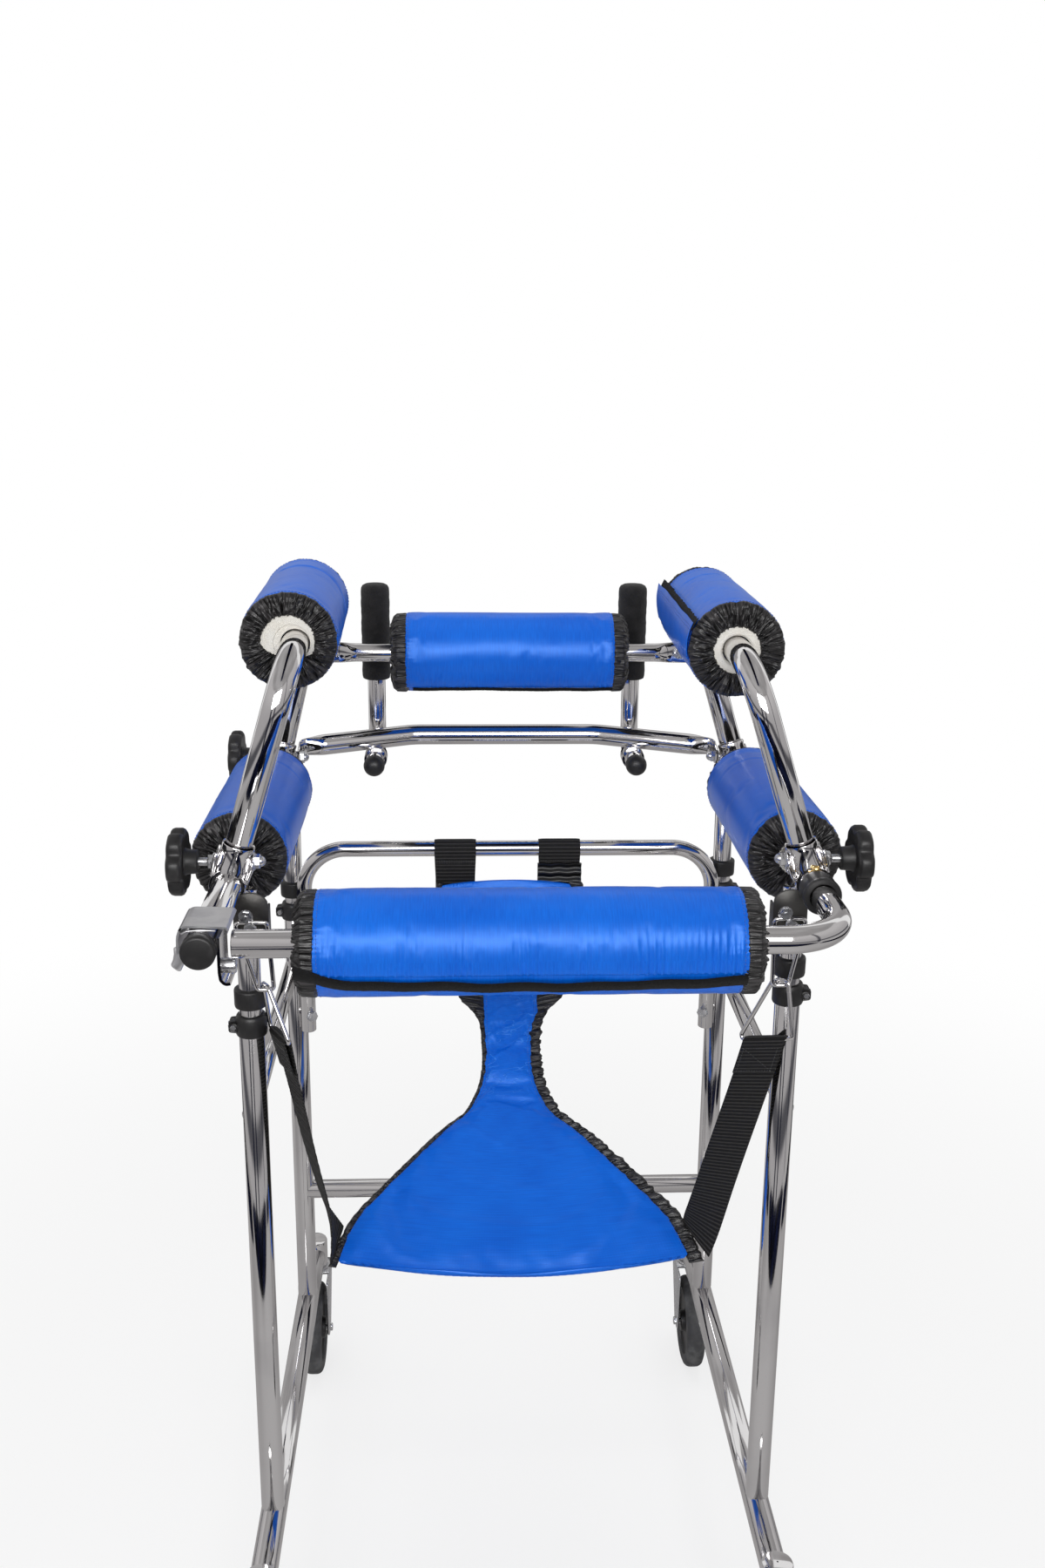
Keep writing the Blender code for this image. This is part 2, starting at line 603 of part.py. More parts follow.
def star_knob(side, far):
    """A lobed hand wheel threaded on the clamp bolt."""
    middle = loop_at(side, far, BOLT_RISE)
    sign = side_sign(side)
    name = f"{side}_{'far' if far else 'near'}_knob"
    count = KNOB_LOBES * 4
    outline = []
    for i in range(count):
        angle = TAU * i / count
        radius = KNOB_OD / 2 - 0.0032 * (1 - math.cos(KNOB_LOBES * angle)) / 2 * 1.6
        outline.append((radius * math.cos(angle), radius * math.sin(angle)))
    bm = bmesh.new()
    levels = [(0.86, -KNOB_THICK / 2), (1.0, -KNOB_THICK / 2 + 0.005), (1.0, KNOB_THICK / 2 - 0.006),
              (0.86, KNOB_THICK / 2)]
    rings = [[bm.verts.new((x * scale, y * scale, z)) for x, y in outline] for scale, z in levels]
    for low, high in zip(rings, rings[1:]):
        for i in range(count):
            j = (i + 1) % count
            bm.faces.new((low[i], low[j], high[j], high[i]))
    bm.faces.new(list(reversed(rings[0])))
    bm.faces.new(rings[-1])
    turn = Vector((sign, 0, 0)).to_track_quat("Z", "Y").to_matrix().to_4x4()
    place = Vector((sign * KNOB_AT, middle.y, middle.z))
    bm.transform(Matrix.Translation(place) @ turn)
    knob = mesh_object(name, bm, BLACK)
    hub_end = place - Vector((sign * (KNOB_THICK / 2 + 0.011), 0, 0))
    combine(knob, rod("hub", place, hub_end, 0.026, BLACK, 16))
    hole_end = place + Vector((sign * 0.008, 0, 0))
    mouth = hub_end - Vector((sign * 0.01, 0, 0))
    cut(knob, rod("thread", mouth, hole_end, BOLT_OD + 2 * GAP, BLACK, 12, CUTTERS))
    hang(f"{name}_pivot", place, knob)


# Padded rolls.

def roll(name, start, end, tube_od, pad_od, opening=0.050, around=26, shift=(0.0, 0.0, 0.0)):
    """A padded roll: crowned barrel, drawn-in ends and pleated gathers round the opening."""
    start, end = Vector(start), Vector(end)
    length = (end - start).length
    radius = pad_od / 2
    bore = tube_od / 2 + GAP
    rim = opening / 2
    half = [(bore, 0.010), (rim - 0.004, 0.008), (rim, 0.0008), (rim + 0.55 * (radius - rim), 0.0012),
            (radius - 0.0055, 0.0055), (radius - 0.0012, 0.018), (radius, 0.075)]
    profile = [(r, z, 0.0012 if 2 <= i <= 3 else 0.0) for i, (r, z) in enumerate(half)]
    profile += [(r, length - z, p) for r, z, p in reversed(profile)]
    bm = bmesh.new()
    rings = []
    for ring_radius, along, pleat in profile:
        ring = []
        for i in range(around):
            angle = TAU * i / around
            wave = pleat * (1 if i % 2 else -1)
            lift = wave if along < length / 2 else -wave
            ring.append(bm.verts.new((ring_radius * math.cos(angle), ring_radius * math.sin(angle), along + lift)))
        rings.append(ring)
    for one, two in zip(rings, rings[1:] + rings[:1]):
        for i in range(around):
            j = (i + 1) % around
            bm.faces.new((one[i], one[j], two[j], two[i]))
    turn = (end - start).to_track_quat("Z", "Y").to_matrix().to_4x4()
    bm.transform(Matrix.Translation(start) @ turn)
    for ring in rings[2:-2]:
        bmesh.ops.translate(bm, verts=ring, vec=shift)
    return mesh_object(name, bm, NYLON, 60)


def side_pads(side):
    near, far = loop_axis(side, False)[1], loop_axis(side, True)[1]
    along = (far - near).normalized()
    start = near + along * (UPPER_PAD_START - NEAR_LEG)
    roll(f"{side}_upper_pad", start, start + along * SIDE_PAD_LENGTH, LOOP_OD, SIDE_PAD_OD,
         shift=UPPER_PAD_SHIFT[side])
    low = world(rail_x(side), LOWER_PAD_START, 0)
    roll(f"{side}_lower_pad", low, low + Vector((0, SIDE_PAD_LENGTH, 0)), RAIL_OD, SIDE_PAD_OD)


# Front bars, handles and gate.

def chest_y():
    """The plane of the chest bar's lugs, near the middle of the two far loop legs."""
    legs = [loop_at(side, True, CHEST_RISE).y for side in SIDES]
    return sum(legs) / len(legs) - CHEST_SET_BACK


def chest_bar():
    """The bar across the chest, its flattened ends bolted to the loops' lugs."""
    legs = {side: abs(loop_at(side, True, CHEST_RISE).x) for side in SIDES}
    y = chest_y() - 0.0015 - GAP
    z = RAIL_HEIGHT + CHEST_RISE
    ends = {side: side_sign(side) * (leg - 0.050) for side, leg in legs.items()}
    bar = rod("chest_bar", (ends["left"], y, z), (ends["right"], y, z), CHEST_OD, CHROME)
    for side in SIDES:
        sign = side_sign(side)
        from_x, to_x = sorted((ends[side] - sign * 0.003, sign * 0.3))
        cut(bar, block("lug_room", (from_x, y - 0.0012, z - 0.03), (to_x, y + 0.03, z + 0.03),
                       CHROME, group=CUTTERS))
        low, high = sorted((ends[side] - sign * 0.010, sign * (legs[side] - 0.020)))
        combine(bar, block("tab", (low, y - 0.0035, z - 0.012), (high, y, z + 0.012), CHROME))
        bolt_x = sign * (legs[side] - 0.034)
        combine(bar, rod("bolt", (bolt_x, y - 0.0060, z), (bolt_x, y + 0.008, z), 0.006, STEEL, 10))
        combine(bar, rod("bolt_head", (bolt_x, y - 0.0085, z), (bolt_x, y - 0.003, z), 0.012, STEEL, 6))
    pad_half = CHEST_PAD_LENGTH / 2
    roll("chest_pad", (-pad_half, y, z), (pad_half, y, z), CHEST_OD, CHEST_PAD_OD, opening=0.040)
    return bar


def crossbar():
    """The bowed bar behind the chest roll, ending on the far clamp bolts."""
    corners = [crossbar_end("left"), world(CROSSBAR_MIDDLE - CROSSBAR_FLAT / 2, CROSSBAR_REACH, CROSSBAR_RISE),
               world(CROSSBAR_MIDDLE + CROSSBAR_FLAT / 2, CROSSBAR_REACH, CROSSBAR_RISE), crossbar_end("right")]
    bar = tube("handle_crossbar", rounded(corners, (0.06, 0.06), math.radians(9)), CROSSBAR_OD, CHROME, 3)
    sleeve_z = RAIL_HEIGHT + CROSSBAR_RISE - CROSSBAR_OD / 2 - HANDLE_OD / 2 - GAP
    for side in SIDES:
        sign = side_sign(side)
        x = CROSSBAR_MIDDLE + sign * HANDLE_SPREAD / 2
        y = crossbar_y(side)
        low, high = Vector((x, y - 0.011, sleeve_z)), Vector((x, y + 0.011, sleeve_z))
        combine(bar, rod("sleeve", low, high, HANDLE_OD + 0.0065, CHROME, 16))
        cut(bar, rod("sleeve_bore", low - Vector((0, 0.03, 0)), high + Vector((0, 0.03, 0)),
                     HANDLE_OD + 2 * GAP, CHROME, 16, CUTTERS))
        tab(bar, side)
    return bar


def crossbar_end(side):
    """Where the bowed part stops, inwards of the far clamp's nut."""
    middle = loop_at(side, True, BOLT_RISE)
    nut = LOOP_OD / 2 + CLAMP_WALL + 0.004
    return Vector((middle.x - side_sign(side) * (nut + 0.020), GATE_Y + FAR_LEG + 0.020, RAIL_HEIGHT + CROSSBAR_RISE))


def crossbar_y(side):
    """How far forward the bowed crossbar's axis is over a handle's sleeve."""
    end = crossbar_end(side)
    reach = abs(end.x - CROSSBAR_MIDDLE)
    share = (HANDLE_SPREAD - CROSSBAR_FLAT) / (2 * reach - CROSSBAR_FLAT)
    return GATE_Y + CROSSBAR_REACH + share * (end.y - GATE_Y - CROSSBAR_REACH)


def tab(bar, side):
    """Flattens one end of the crossbar into a tab over the far clamp's bolt."""
    sign = side_sign(side)
    end = crossbar_end(side)
    middle = loop_at(side, True, BOLT_RISE)
    face = middle.x - sign * (LOOP_OD / 2 + CLAMP_WALL + 0.004 + GAP)
    low, high = sorted((face, face - sign * 0.004))
    z = middle.z
    combine(bar, block("tab", (low, middle.y - 0.011, z - 0.010), (high, end.y + 0.009, end.z + 0.009), CHROME))
    near, far = sorted((face - sign * 0.002, end.x - sign * 0.006))
    combine(bar, block("neck", (near, end.y - 0.005, end.z - 0.003), (far, end.y + 0.008, end.z + 0.008), CHROME))
    bolt = Vector((face, middle.y, middle.z))
    reach = Vector((sign * 0.02, 0, 0))
    return cut(bar, rod("bolt_hole", bolt - reach, bolt + reach, BOLT_OD + 2 * GAP, CHROME, 10, CUTTERS))


def handle(side):
    """An L tube that slides in the crossbar's sleeve, with a foam grip and a ball cap."""
    x = CROSSBAR_MIDDLE + side_sign(side) * HANDLE_SPREAD / 2
    low = CROSSBAR_RISE - CROSSBAR_OD / 2 - HANDLE_OD / 2 - GAP
    back = CROSSBAR_REACH + CROSSBAR_OD / 2 + HANDLE_OD / 2 + 0.0015
    cap_y = back - 0.088
    path = rounded([world(x, cap_y, low), world(x, back, low), world(x, back, GRIP_TOP - 0.008)], (0.026,))
    bar = tube(f"{side}_handle", path, HANDLE_OD, CHROME, 4)
    profile = [(0, 0.0125), (0.006, 0.0118), (0.0105, 0.008), (0.0130, 0.002), (0.0130, -0.005), (0, -0.005)]
    ball = turned("ball", profile, world(x, cap_y, low), (0, -1, 0), BLACK, 16)
    combine(bar, ball)
    radius = GRIP_OD / 2
    bore = HANDLE_OD / 2 + GAP
    top = 0.008
    profile = [(0, top), (radius - 0.004, top), (radius, top - 0.005), (radius, top - GRIP_LENGTH + 0.003),
               (radius - 0.002, top - GRIP_LENGTH), (bore, top - GRIP_LENGTH), (bore, GAP), (0, GAP)]
    grip = turned(f"{side}_grip", profile, world(x, back, GRIP_TOP - 0.008), (0, 0, 1), FOAM, 20)
    hang(f"{side}_handle_pivot", world(x, back, low), bar, grip)


def gate():
    """The gate bar turns in the right rail's end; its left end lies on the rest."""
    left = rail_x("left") + RAIL_OD / 2 + GATE_END
    x = rail_x("right")
    path = rounded([world(left, 0, 0), world(x, 0, 0), world(x, RAIL_START["right"] + 0.070, 0)], (0.058,))
    bar = tube("gate_bar", path, GATE_OD, CHROME, 5)
    hole = world(x, RAIL_START["right"] + 0.033, 0)
    groove = [(0.0060, 0.0045), (0.0200, 0.0045), (0.0200, -0.0045), (0.0060, -0.0045)]
    cut(bar, turned("groove", groove, hole, (0, 1, 0), CHROME, 16, CUTTERS))
    half = GATE_PAD_LENGTH / 2
    pad = roll("gate_pad", world(-half, 0, 0), world(half, 0, 0), GATE_OD, PAD_OD, around=30)
    hang("gate_pivot", world(x, RAIL_START["right"], 0), bar, pad)
    profile = [(0, 0.0195), (0.0026, 0.0190), (0.0040, 0.0170), (0.0040, 0.0095), (0, 0.0095)]
    button = turned("gate_button", profile, hole, (0, 0, 1), BRASS, 16)
    hang("gate_button_pivot", hole, button)


def latch():
    """The rest plate with its roller, and the sprung saddle keeper over the rail end."""
    x = rail_x("left")
    edge = x + RAIL_OD / 2
    rest = block("gate_rest", world(edge + GAP, -0.012, -0.033), world(edge + 0.0033, 0.030, 0.010), CHROME, 0.001)
    peg = world(edge + 0.002, 0.0, -0.0198)
    combine(rest, rod("roller", peg, peg + Vector((0.020, 0, 0)), 0.0135, STEEL, 16))
    ring_y = (0.034, 0.048)
    outer = RAIL_OD / 2 + 0.0012
    keeper = rod("latch_keeper", world(x, ring_y[0], 0), world(x, ring_y[1], 0), 2 * outer + 0.005, CHROME, 16)
    reach = RAIL_OD / 2 + GATE_END - 0.0012
    roof = [(x - 0.0200, 0.0130), (x - 0.0170, 0.0185), (x + reach - 0.002, 0.0185), (x + reach, 0.0170),
            (x + reach - 0.002, 0.0152), (x - 0.0150, 0.0152), (x - 0.0172, 0.0120), (x - 0.0172, -0.006),
            (x - 0.0200, -0.006)]
    combine(keeper, face_plate("roof", roof, -0.008, 0.040, CHROME))
    lever = [(x - 0.0202, -0.003), (x - 0.0171, -0.003), (x - 0.0185, -0.017), (x - 0.0210, -0.024),
             (x - 0.0255, -0.022)]
    combine(keeper, face_plate("lever", lever, -0.008, 0.010, CHROME))
    cut(keeper, rod("rail_room", world(x, 0.02, 0), world(x, 0.06, 0), RAIL_OD + 2 * GAP, CHROME, 16, CUTTERS))
    hang("latch_pivot", world(x, 0.041, 0), keeper)


# Sling and its suspension.

def bail(side):
    """A V of wire hung on the bracket's bolt, and the triangle ring that links it to a strap."""
    sign = side_sign(side)
    x = post_x(side) - sign * BRACKET_INSET
    low_x = sign * BAIL_FOOT[side]
    y = NEAR_LEG - CLAMP_WIDTH / 2 - 0.003 - 2 * GAP - WIRE_OD / 2
    top = -BRACKET_BOLT_DROP + BRACKET_SHANK / 2 + GAP + WIRE_OD / 2
    corners = ((x - 0.0155, top), (x + 0.0155, top), (low_x + 0.008, -BAIL_DROP), (low_x - 0.008, -BAIL_DROP))
    wire_loop(f"{side}_bail", [world(cx, y, cz) for cx, cz in corners])
    turn = Matrix.Rotation(math.radians(RING_TURN[side]), 3, "Z")
    apex = world(low_x, y, -BAIL_DROP + WIRE_OD + GAP)
    pull = Vector((-sign * 0.012, 0.0, -RING_HEIGHT))
    shape = [turn @ Vector((px, 0, 0)) + pull * down for px, down in
             ((-0.0090, 0), (0.0090, 0), (RING_HALF, 1), (-RING_HALF, 1))]
    wire_loop(f"{side}_ring", [apex + spot for spot in shape])
    return apex + pull, turn


def wire_loop(name, corners):
    """A closed ring of wire through rounded corners."""
    start = (corners[0] + corners[-1]) / 2
    path = rounded([start, *corners, start], (0.0035,) * len(corners), math.radians(40))
    return tube(name, path[:-1], WIRE_OD, CHROME, 1, cyclic=True)


SLING_PATH = ((0.526, -0.131, 0.093), (0.516, -0.165, 0.088), (0.492, -0.214, 0.069), (0.456, -0.260, 0.044),
              (0.423, -0.291, 0.031), (0.390, -0.320, 0.034), (0.350, -0.353, 0.060), (0.310, -0.386, 0.102),
              (0.270, -0.416, 0.150), (0.235, -0.440, 0.183), (0.190, -0.468, 0.203))
WEB_LOOPS = (-0.0665, 0.0615)
SLING_THICK = 0.012
SLING_EDGE = 0.003         # thickness left at the bound edges
SLING_LIFT = 0.10          # how far the edges curl up, as a share of the half width


def sling():
    """The padded hourglass seat with its two sewn loops round the strap bar."""
    across = (-1.0, -0.86, -0.45, 0.0, 0.45, 0.86, 1.0)
    bm = bmesh.new()
    rings = []
    count = len(SLING_PATH)
    for i, (y, z, half) in enumerate(SLING_PATH):
        before, after = SLING_PATH[max(0, i - 1)], SLING_PATH[min(count - 1, i + 1)]
        run = Vector((0, after[0] - before[0], after[1] - before[1])).normalized()
        normal = Vector((0, -run.z, run.y))
        if normal.z < 0:
            normal = -normal
        ends = 0.45 if i in (0, count - 1) else 1.0
        upper, lower = [], []
        for share in across:
            sag = SLING_LIFT * half * share * share
            puff = max(SLING_EDGE / 2, SLING_THICK / 2 * ends * math.sqrt(max(0.0, 1 - share * share)))
            middle = world(half * share, y, z + sag)
            upper.append(bm.verts.new(middle + normal * puff))
            lower.append(bm.verts.new(middle - normal * puff))
        rings.append(upper + lower[::-1])
    for one, two in zip(rings, rings[1:]):
        for i in range(len(one)):
            j = (i + 1) % len(one)
            bm.faces.new((one[i], one[j], two[j], two[i]))
    last = len(across) * 2 - 1
    for ring in (rings[0], rings[-1]):
        for i in range(len(across) - 1):
            bm.faces.new((ring[i], ring[i + 1], ring[last - i - 1], ring[last - i]))
    seat = mesh_object("sling_seat", bm, NYLON, 60)
    for middle in WEB_LOOPS:
        combine(seat, web_loop(middle))
    return seat


def web_loop(middle):
    """A webbing loop round the strap bar, its two ends sewn to the sling's front edge."""
    inner = STRETCHER_OD / 2 + GAP
    outer = inner + 0.0022
    steps = 12
    outline = []
    for i in range(steps + 1):
        angle = -0.9 + (math.pi + 1.8) * i / steps
        outline.append((STRAP_BAR_REACH + outer * math.cos(angle), -STRAP_BAR_DROP + outer * math.sin(angle)))
    outline += [(STRAP_BAR_REACH - 0.0078, -0.1435), (STRAP_BAR_REACH - 0.0027, -0.1435)]
    loop = plate("web_loop", outline, middle - 0.0255, middle + 0.0255, WEBBING)
    reach = Vector((0.04, 0, 0))
    centre = world(middle, STRAP_BAR_REACH, -STRAP_BAR_DROP)
    return cut(loop, rod("bar_room", centre - reach, centre + reach, 2 * inner, WEBBING, 16, CUTTERS))


def sling_edge(side, y):
    """The sling's side edge at a place between its last stations."""
    for one, two in zip(SLING_PATH, SLING_PATH[1:]):
        if one[0] >= y >= two[0]:
            share = (one[0] - y) / (one[0] - two[0])
            half = one[2] + share * (two[2] - one[2])
            drop = one[1] + share * (two[1] - one[1])
            return world(side_sign(side) * half, y, drop + SLING_LIFT * half)
    raise ValueError("no sling there")


def strap(side, start, turn):
    """The webbing from the triangle ring to the sling's rear corner."""
    rear, ahead = sling_edge(side, 0.1905), sling_edge(side, 0.2310)
    outwards = Vector((side_sign(side) * (SLING_EDGE / 2 + GAP), 0, 0))
    corner = (rear + ahead) / 2 + outwards
    end_half = (rear - ahead) / 2
    top = start + Vector((0, 0, -WIRE_OD / 2 - GAP))
    top_half = turn @ Vector((0.0245, 0, 0))
    if top_half.dot(end_half) < 0:
        end_half = -end_half
    steps = 7
    bm = bmesh.new()
    rings = []
    for i in range(steps + 1):
        share = i / steps
        middle = top.lerp(corner, share)
        half = top_half.lerp(end_half, share)
        half = half.normalized() * (top_half.length * (1 - share) + end_half.length * share)
        thick = half.cross(corner - top).normalized() * 0.0013
        corners = ((-1, -1), (1, -1), (1, 1), (-1, 1))
        rings.append([bm.verts.new(middle + half * a + thick * b) for a, b in corners])
    for one, two in zip(rings, rings[1:]):
        for i in range(4):
            j = (i + 1) % 4
            bm.faces.new((one[i], one[j], two[j], two[i]))
    bm.faces.new(rings[0])
    bm.faces.new(list(reversed(rings[-1])))
    return mesh_object(f"{side}_strap", bm, WEBBING)


def build():
    for side in SIDES:
        base_rail(side)
        stretcher(side)
        rail(side)
        arm_loop(side)
        side_pads(side)
        handle(side)
        for far in (False, True):
            outer_post(side, far)
            inner_post(side, far)
            clamp(side, far)
            star_knob(side, far)
            castor(side, far)
        strap(side, *bail(side))
    front_bar()
    strap_bar()
    chest_bar()
    crossbar()
    gate()
    latch()
    sling()


build()
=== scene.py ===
"""Looks of the hemiplegic rollator: chromed tube, blue nylon rolls, black gathers and webbing."""
import math
import bpy
import bmesh
import numpy as np
from mathutils import Matrix, Vector, noise
from mathutils.bvhtree import BVHTree


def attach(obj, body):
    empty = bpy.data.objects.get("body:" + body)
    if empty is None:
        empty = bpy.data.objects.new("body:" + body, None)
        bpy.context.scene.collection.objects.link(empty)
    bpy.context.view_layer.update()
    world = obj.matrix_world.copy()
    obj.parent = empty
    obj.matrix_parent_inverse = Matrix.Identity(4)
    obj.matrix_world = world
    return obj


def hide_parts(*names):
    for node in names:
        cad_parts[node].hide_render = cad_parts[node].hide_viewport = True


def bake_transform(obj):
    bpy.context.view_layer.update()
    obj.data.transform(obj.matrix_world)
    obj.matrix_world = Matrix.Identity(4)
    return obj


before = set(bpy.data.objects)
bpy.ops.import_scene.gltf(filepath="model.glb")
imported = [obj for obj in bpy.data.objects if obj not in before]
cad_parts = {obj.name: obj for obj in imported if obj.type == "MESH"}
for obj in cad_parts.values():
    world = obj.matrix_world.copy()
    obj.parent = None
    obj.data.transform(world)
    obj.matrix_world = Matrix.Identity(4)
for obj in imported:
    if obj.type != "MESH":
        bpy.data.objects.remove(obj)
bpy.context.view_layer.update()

# Sizes and places that the part's source gives or works out. Y runs from the gate bar, Z from
# the rail axis, and a name that ends in R is a radius.
GATE_Y, RAIL_Z = -0.3202, 0.900
SIDES = {"left": -1.0, "right": 1.0}
LEGS = {"near": 0.160, "far": 0.550}
RAIL_X, POST_X = 0.284, 0.2685
RAIL_START, RAIL_END = {"left": -0.020, "right": 0.107}, 0.592
LOOP_RISE = {"left": 0.217, "right": 0.211}
LOOP_TOP_X = {"near": {"left": 0.220, "right": 0.216}, "far": {"left": 0.233, "right": 0.224}}
LOOP_TOP_Y = {"near": 0.160, "far": 0.592}
RAIL_R, GATE_R, LOOP_R, POST_R, INNER_R = 0.0143, 0.0127, 0.0135, 0.0127, 0.0111
HANDLE_R, CROSS_R, CHEST_R, HOOP_R, WIRE_R = 0.0110, 0.0127, 0.0111, 0.0095, 0.00225
COLLAR_DROP = {"near": {"left": 0.140, "right": 0.111}, "far": {"left": 0.166, "right": 0.141}}
BOLT_RISE, KNOB_AT = 0.021, 0.327
CHEST_RISE, CHEST_Y, CHEST_BACK = 0.147, 0.5771, 0.0018
CROSS_MIDDLE, CROSS_FLAT, CROSS_REACH, CROSS_RISE = -0.004, 0.230, 0.622, 0.0325
HANDLE_SPREAD, GRIP_TOP, GRIP_LENGTH = 0.3235, 0.221, 0.121
BASE_Z, BASE_START, BASE_END = -0.738, 0.050, 0.660
WHEEL_R, WHEEL_HALF, TRAIL = 0.0625, 0.015, 0.034
HOOP_Y, HOOP_Z, HOOP_HALF, HOOP_FOOT = 0.529, -0.089, 0.253, -0.330

# Smaller measures of single pieces and of the cloth.
STRETCHER_Z, FRONT_BAR_Z = -0.250, -0.570
BRACKET_X, BAIL_LOW_Z = POST_X - 0.0065, -0.104
PLATE, BAIL_BOLT_Z, BAIL_BOLT_R = 0.003, -0.040, 0.0035
FORK_GAP, FORK_SHEET = 0.003, 0.003
PEDAL_BACK, PEDAL_RISE = 0.006, 0.011
CROSS_FOOT, CROSS_BEND = 0.0228, 0.0405     # inwards of the far loop leg's axis
WEB_LOOP_X = {"left": -0.0665, "right": 0.0615}
STRAP_HALF, STRAP_REAR, STRAP_AHEAD = 0.0245, 0.1905, 0.2310
GATE_ROLL, CHEST_ROLL, SIDE_ROLL = 0.404, 0.284, 0.278
UPPER_ROLL_Y, LOWER_ROLL_Y = 0.245, 0.222
RIPPLE_PITCH, TOOTH_PITCH, FRILLS = 0.0066, 0.0052, 50
STRAP_FOLD_R = 0.0034
WEB_STITCH = (0.0030, 0.0022)   # pitch and length
TOUCH_GAP = 0.0003          # air left between pieces that touch
FINE_BEND = 5.0             # degrees between the stations of a bend that is seen close

TAU = math.tau
UP, RIGHT, AHEAD = Vector((0, 0, 1)), Vector((1, 0, 0)), Vector((0, 1, 0))


def at(x, y, z):
    """A place given from the centre plane, the gate bar and the rail axis."""
    return Vector((x, GATE_Y + y, RAIL_Z + z))


def unit(value):
    """The value held between 0 and 1."""
    return min(1.0, max(0.0, value))


def eased(value):
    """A soft step from 0 to 1."""
    value = unit(value)
    return value * value * (3 - 2 * value)


def placed(name, data):
    """A new object in the scene, at the origin."""
    obj = bpy.data.objects.new(name, data)
    bpy.context.scene.collection.objects.link(obj)
    return obj


def points_of(obj):
    points = np.zeros(len(obj.data.vertices) * 3)
    obj.data.vertices.foreach_get("co", points)
    return points.reshape(-1, 3)


def set_points(obj, points):
    obj.data.vertices.foreach_set("co", points.ravel())
    obj.data.update()


def finer(path, step):
    """The path with more points, none further apart than step."""
    fine = [path[0]]
    for a, b in zip(path, path[1:]):
        count = max(1, math.ceil((b - a).length / step))
        fine += [a.lerp(b, (i + 1) / count) for i in range(count)]
    return fine


def node_adder(tree):
    """A function that adds a node, its sockets given values or links, and returns its outputs."""
    def add(kind, sockets=(), **settings):
        node = tree.nodes.new(kind)
        for key, value in settings.items():
            setattr(node, key, value)
        for key, value in dict(sockets).items():
            if isinstance(value, bpy.types.NodeSocket):
                tree.links.new(value, node.inputs[key])
            else:
                node.inputs[key].default_value = value
        return node.outputs

    return add


class Signal:
    """A shader socket that works like a number: each operator adds its Math node."""

    def __init__(self, finish, socket):
        self.finish = finish
        self.socket = socket

    def math(self, operation, *values):
        return self.finish.node("ShaderNodeMath", values, operation=operation)

    def __add__(self, other):
        return self.math("ADD", self, other)

    def __sub__(self, other):
        return self.math("SUBTRACT", self, other)

    def __rsub__(self, other):
        return self.math("SUBTRACT", other, self)

    def __mul__(self, other):
        return self.math("MULTIPLY", self, other)

    __radd__ = __add__
    __rmul__ = __mul__

    def wave(self, pitch):
        """A sine from 0 to 1 that repeats once in each pitch."""
        return self.math("SINE", self * (TAU / pitch)) * 0.5 + 0.5

    def between(self, low, high):
        """Rises softly from 0 at low to 1 at high."""
        values = {0: self, 1: low, 2: high}
        return self.finish.node("ShaderNodeMapRange", values, interpolation_type="SMOOTHSTEP")


class Finish:
    """One material: constants are set on the shader's own sockets, signals are linked into them."""

    def __init__(self, name, slot=None, **constants):
        self.slot = slot
        self.material = bpy.data.materials.new(name)
        self.material.use_nodes = True
        self.tree = self.material.node_tree
        self.shader = self.tree.nodes["Principled BSDF"]
        self.set(**constants)

    def set(self, **values):
        for key, value in values.items():
            self.feed(self.shader.inputs[key.replace("_", " ")], value)

    def feed(self, socket, value):
        if isinstance(value, Signal):
            self.tree.links.new(value.socket, socket)
        elif hasattr(value, "__len__") and len(value) == 3 and socket.type == "RGBA":
            socket.default_value = (*value, 1.0)
        else:
            socket.default_value = value

    def node(self, kind, sockets=(), output=0, **settings):
        node = self.tree.nodes.new(kind)
        for key, value in settings.items():
            setattr(node, key, value)
        pairs = sockets.items() if isinstance(sockets, dict) else enumerate(sockets)
        for key, value in pairs:
            self.feed(node.inputs[key], value)
        return Signal(self, node.outputs[output])

    def place(self):
        return self.node("ShaderNodeTexCoord", output="Object")

    def along(self, axis, vector):
        """One coordinate of a vector."""
        return self.node("ShaderNodeSeparateXYZ", [vector], output=axis)

    def cloth(self):
        """The piece's own flat coordinates: metres around and along the cloth."""
        return self.node("ShaderNodeUVMap", uv_map="cloth")

    def cloud(self, scale, detail=2.0, rough=0.5, vector=None, stretch=None):
        vector = vector or self.place()
        if stretch:
            vector = self.node("ShaderNodeMapping", {0: vector, 3: stretch})
        values = {"Vector": vector, "Scale": scale, "Detail": detail, "Roughness": rough}
        return self.node("ShaderNodeTexNoise", values)

    def mix(self, share, one, two):
        return self.node("ShaderNodeMix", {0: share, 6: one, 7: two}, output=2, data_type="RGBA")

    def bump(self, height, distance, strength=1.0):
        values = {"Height": height, "Distance": distance, "Strength": strength}
        self.set(Normal=self.node("ShaderNodeBump", values))
        return self


def bright_chrome():
    skin = Finish("bright_chrome", "chrome", Metallic=1.0)
    smear = skin.cloud(14.0, 3.0).between(0.45, 0.75)
    speck = skin.cloud(420.0, 1.0).between(0.70, 0.82)
    skin.set(Roughness=0.07 + smear * 0.05 + speck * 0.08)
    skin.set(Base_Color=skin.mix(smear * 0.5 + speck * 0.3, (0.70, 0.69, 0.69), (0.57, 0.56, 0.57)))
    return skin.bump(skin.cloud(16.0, 2.0), 0.0003, 0.12)


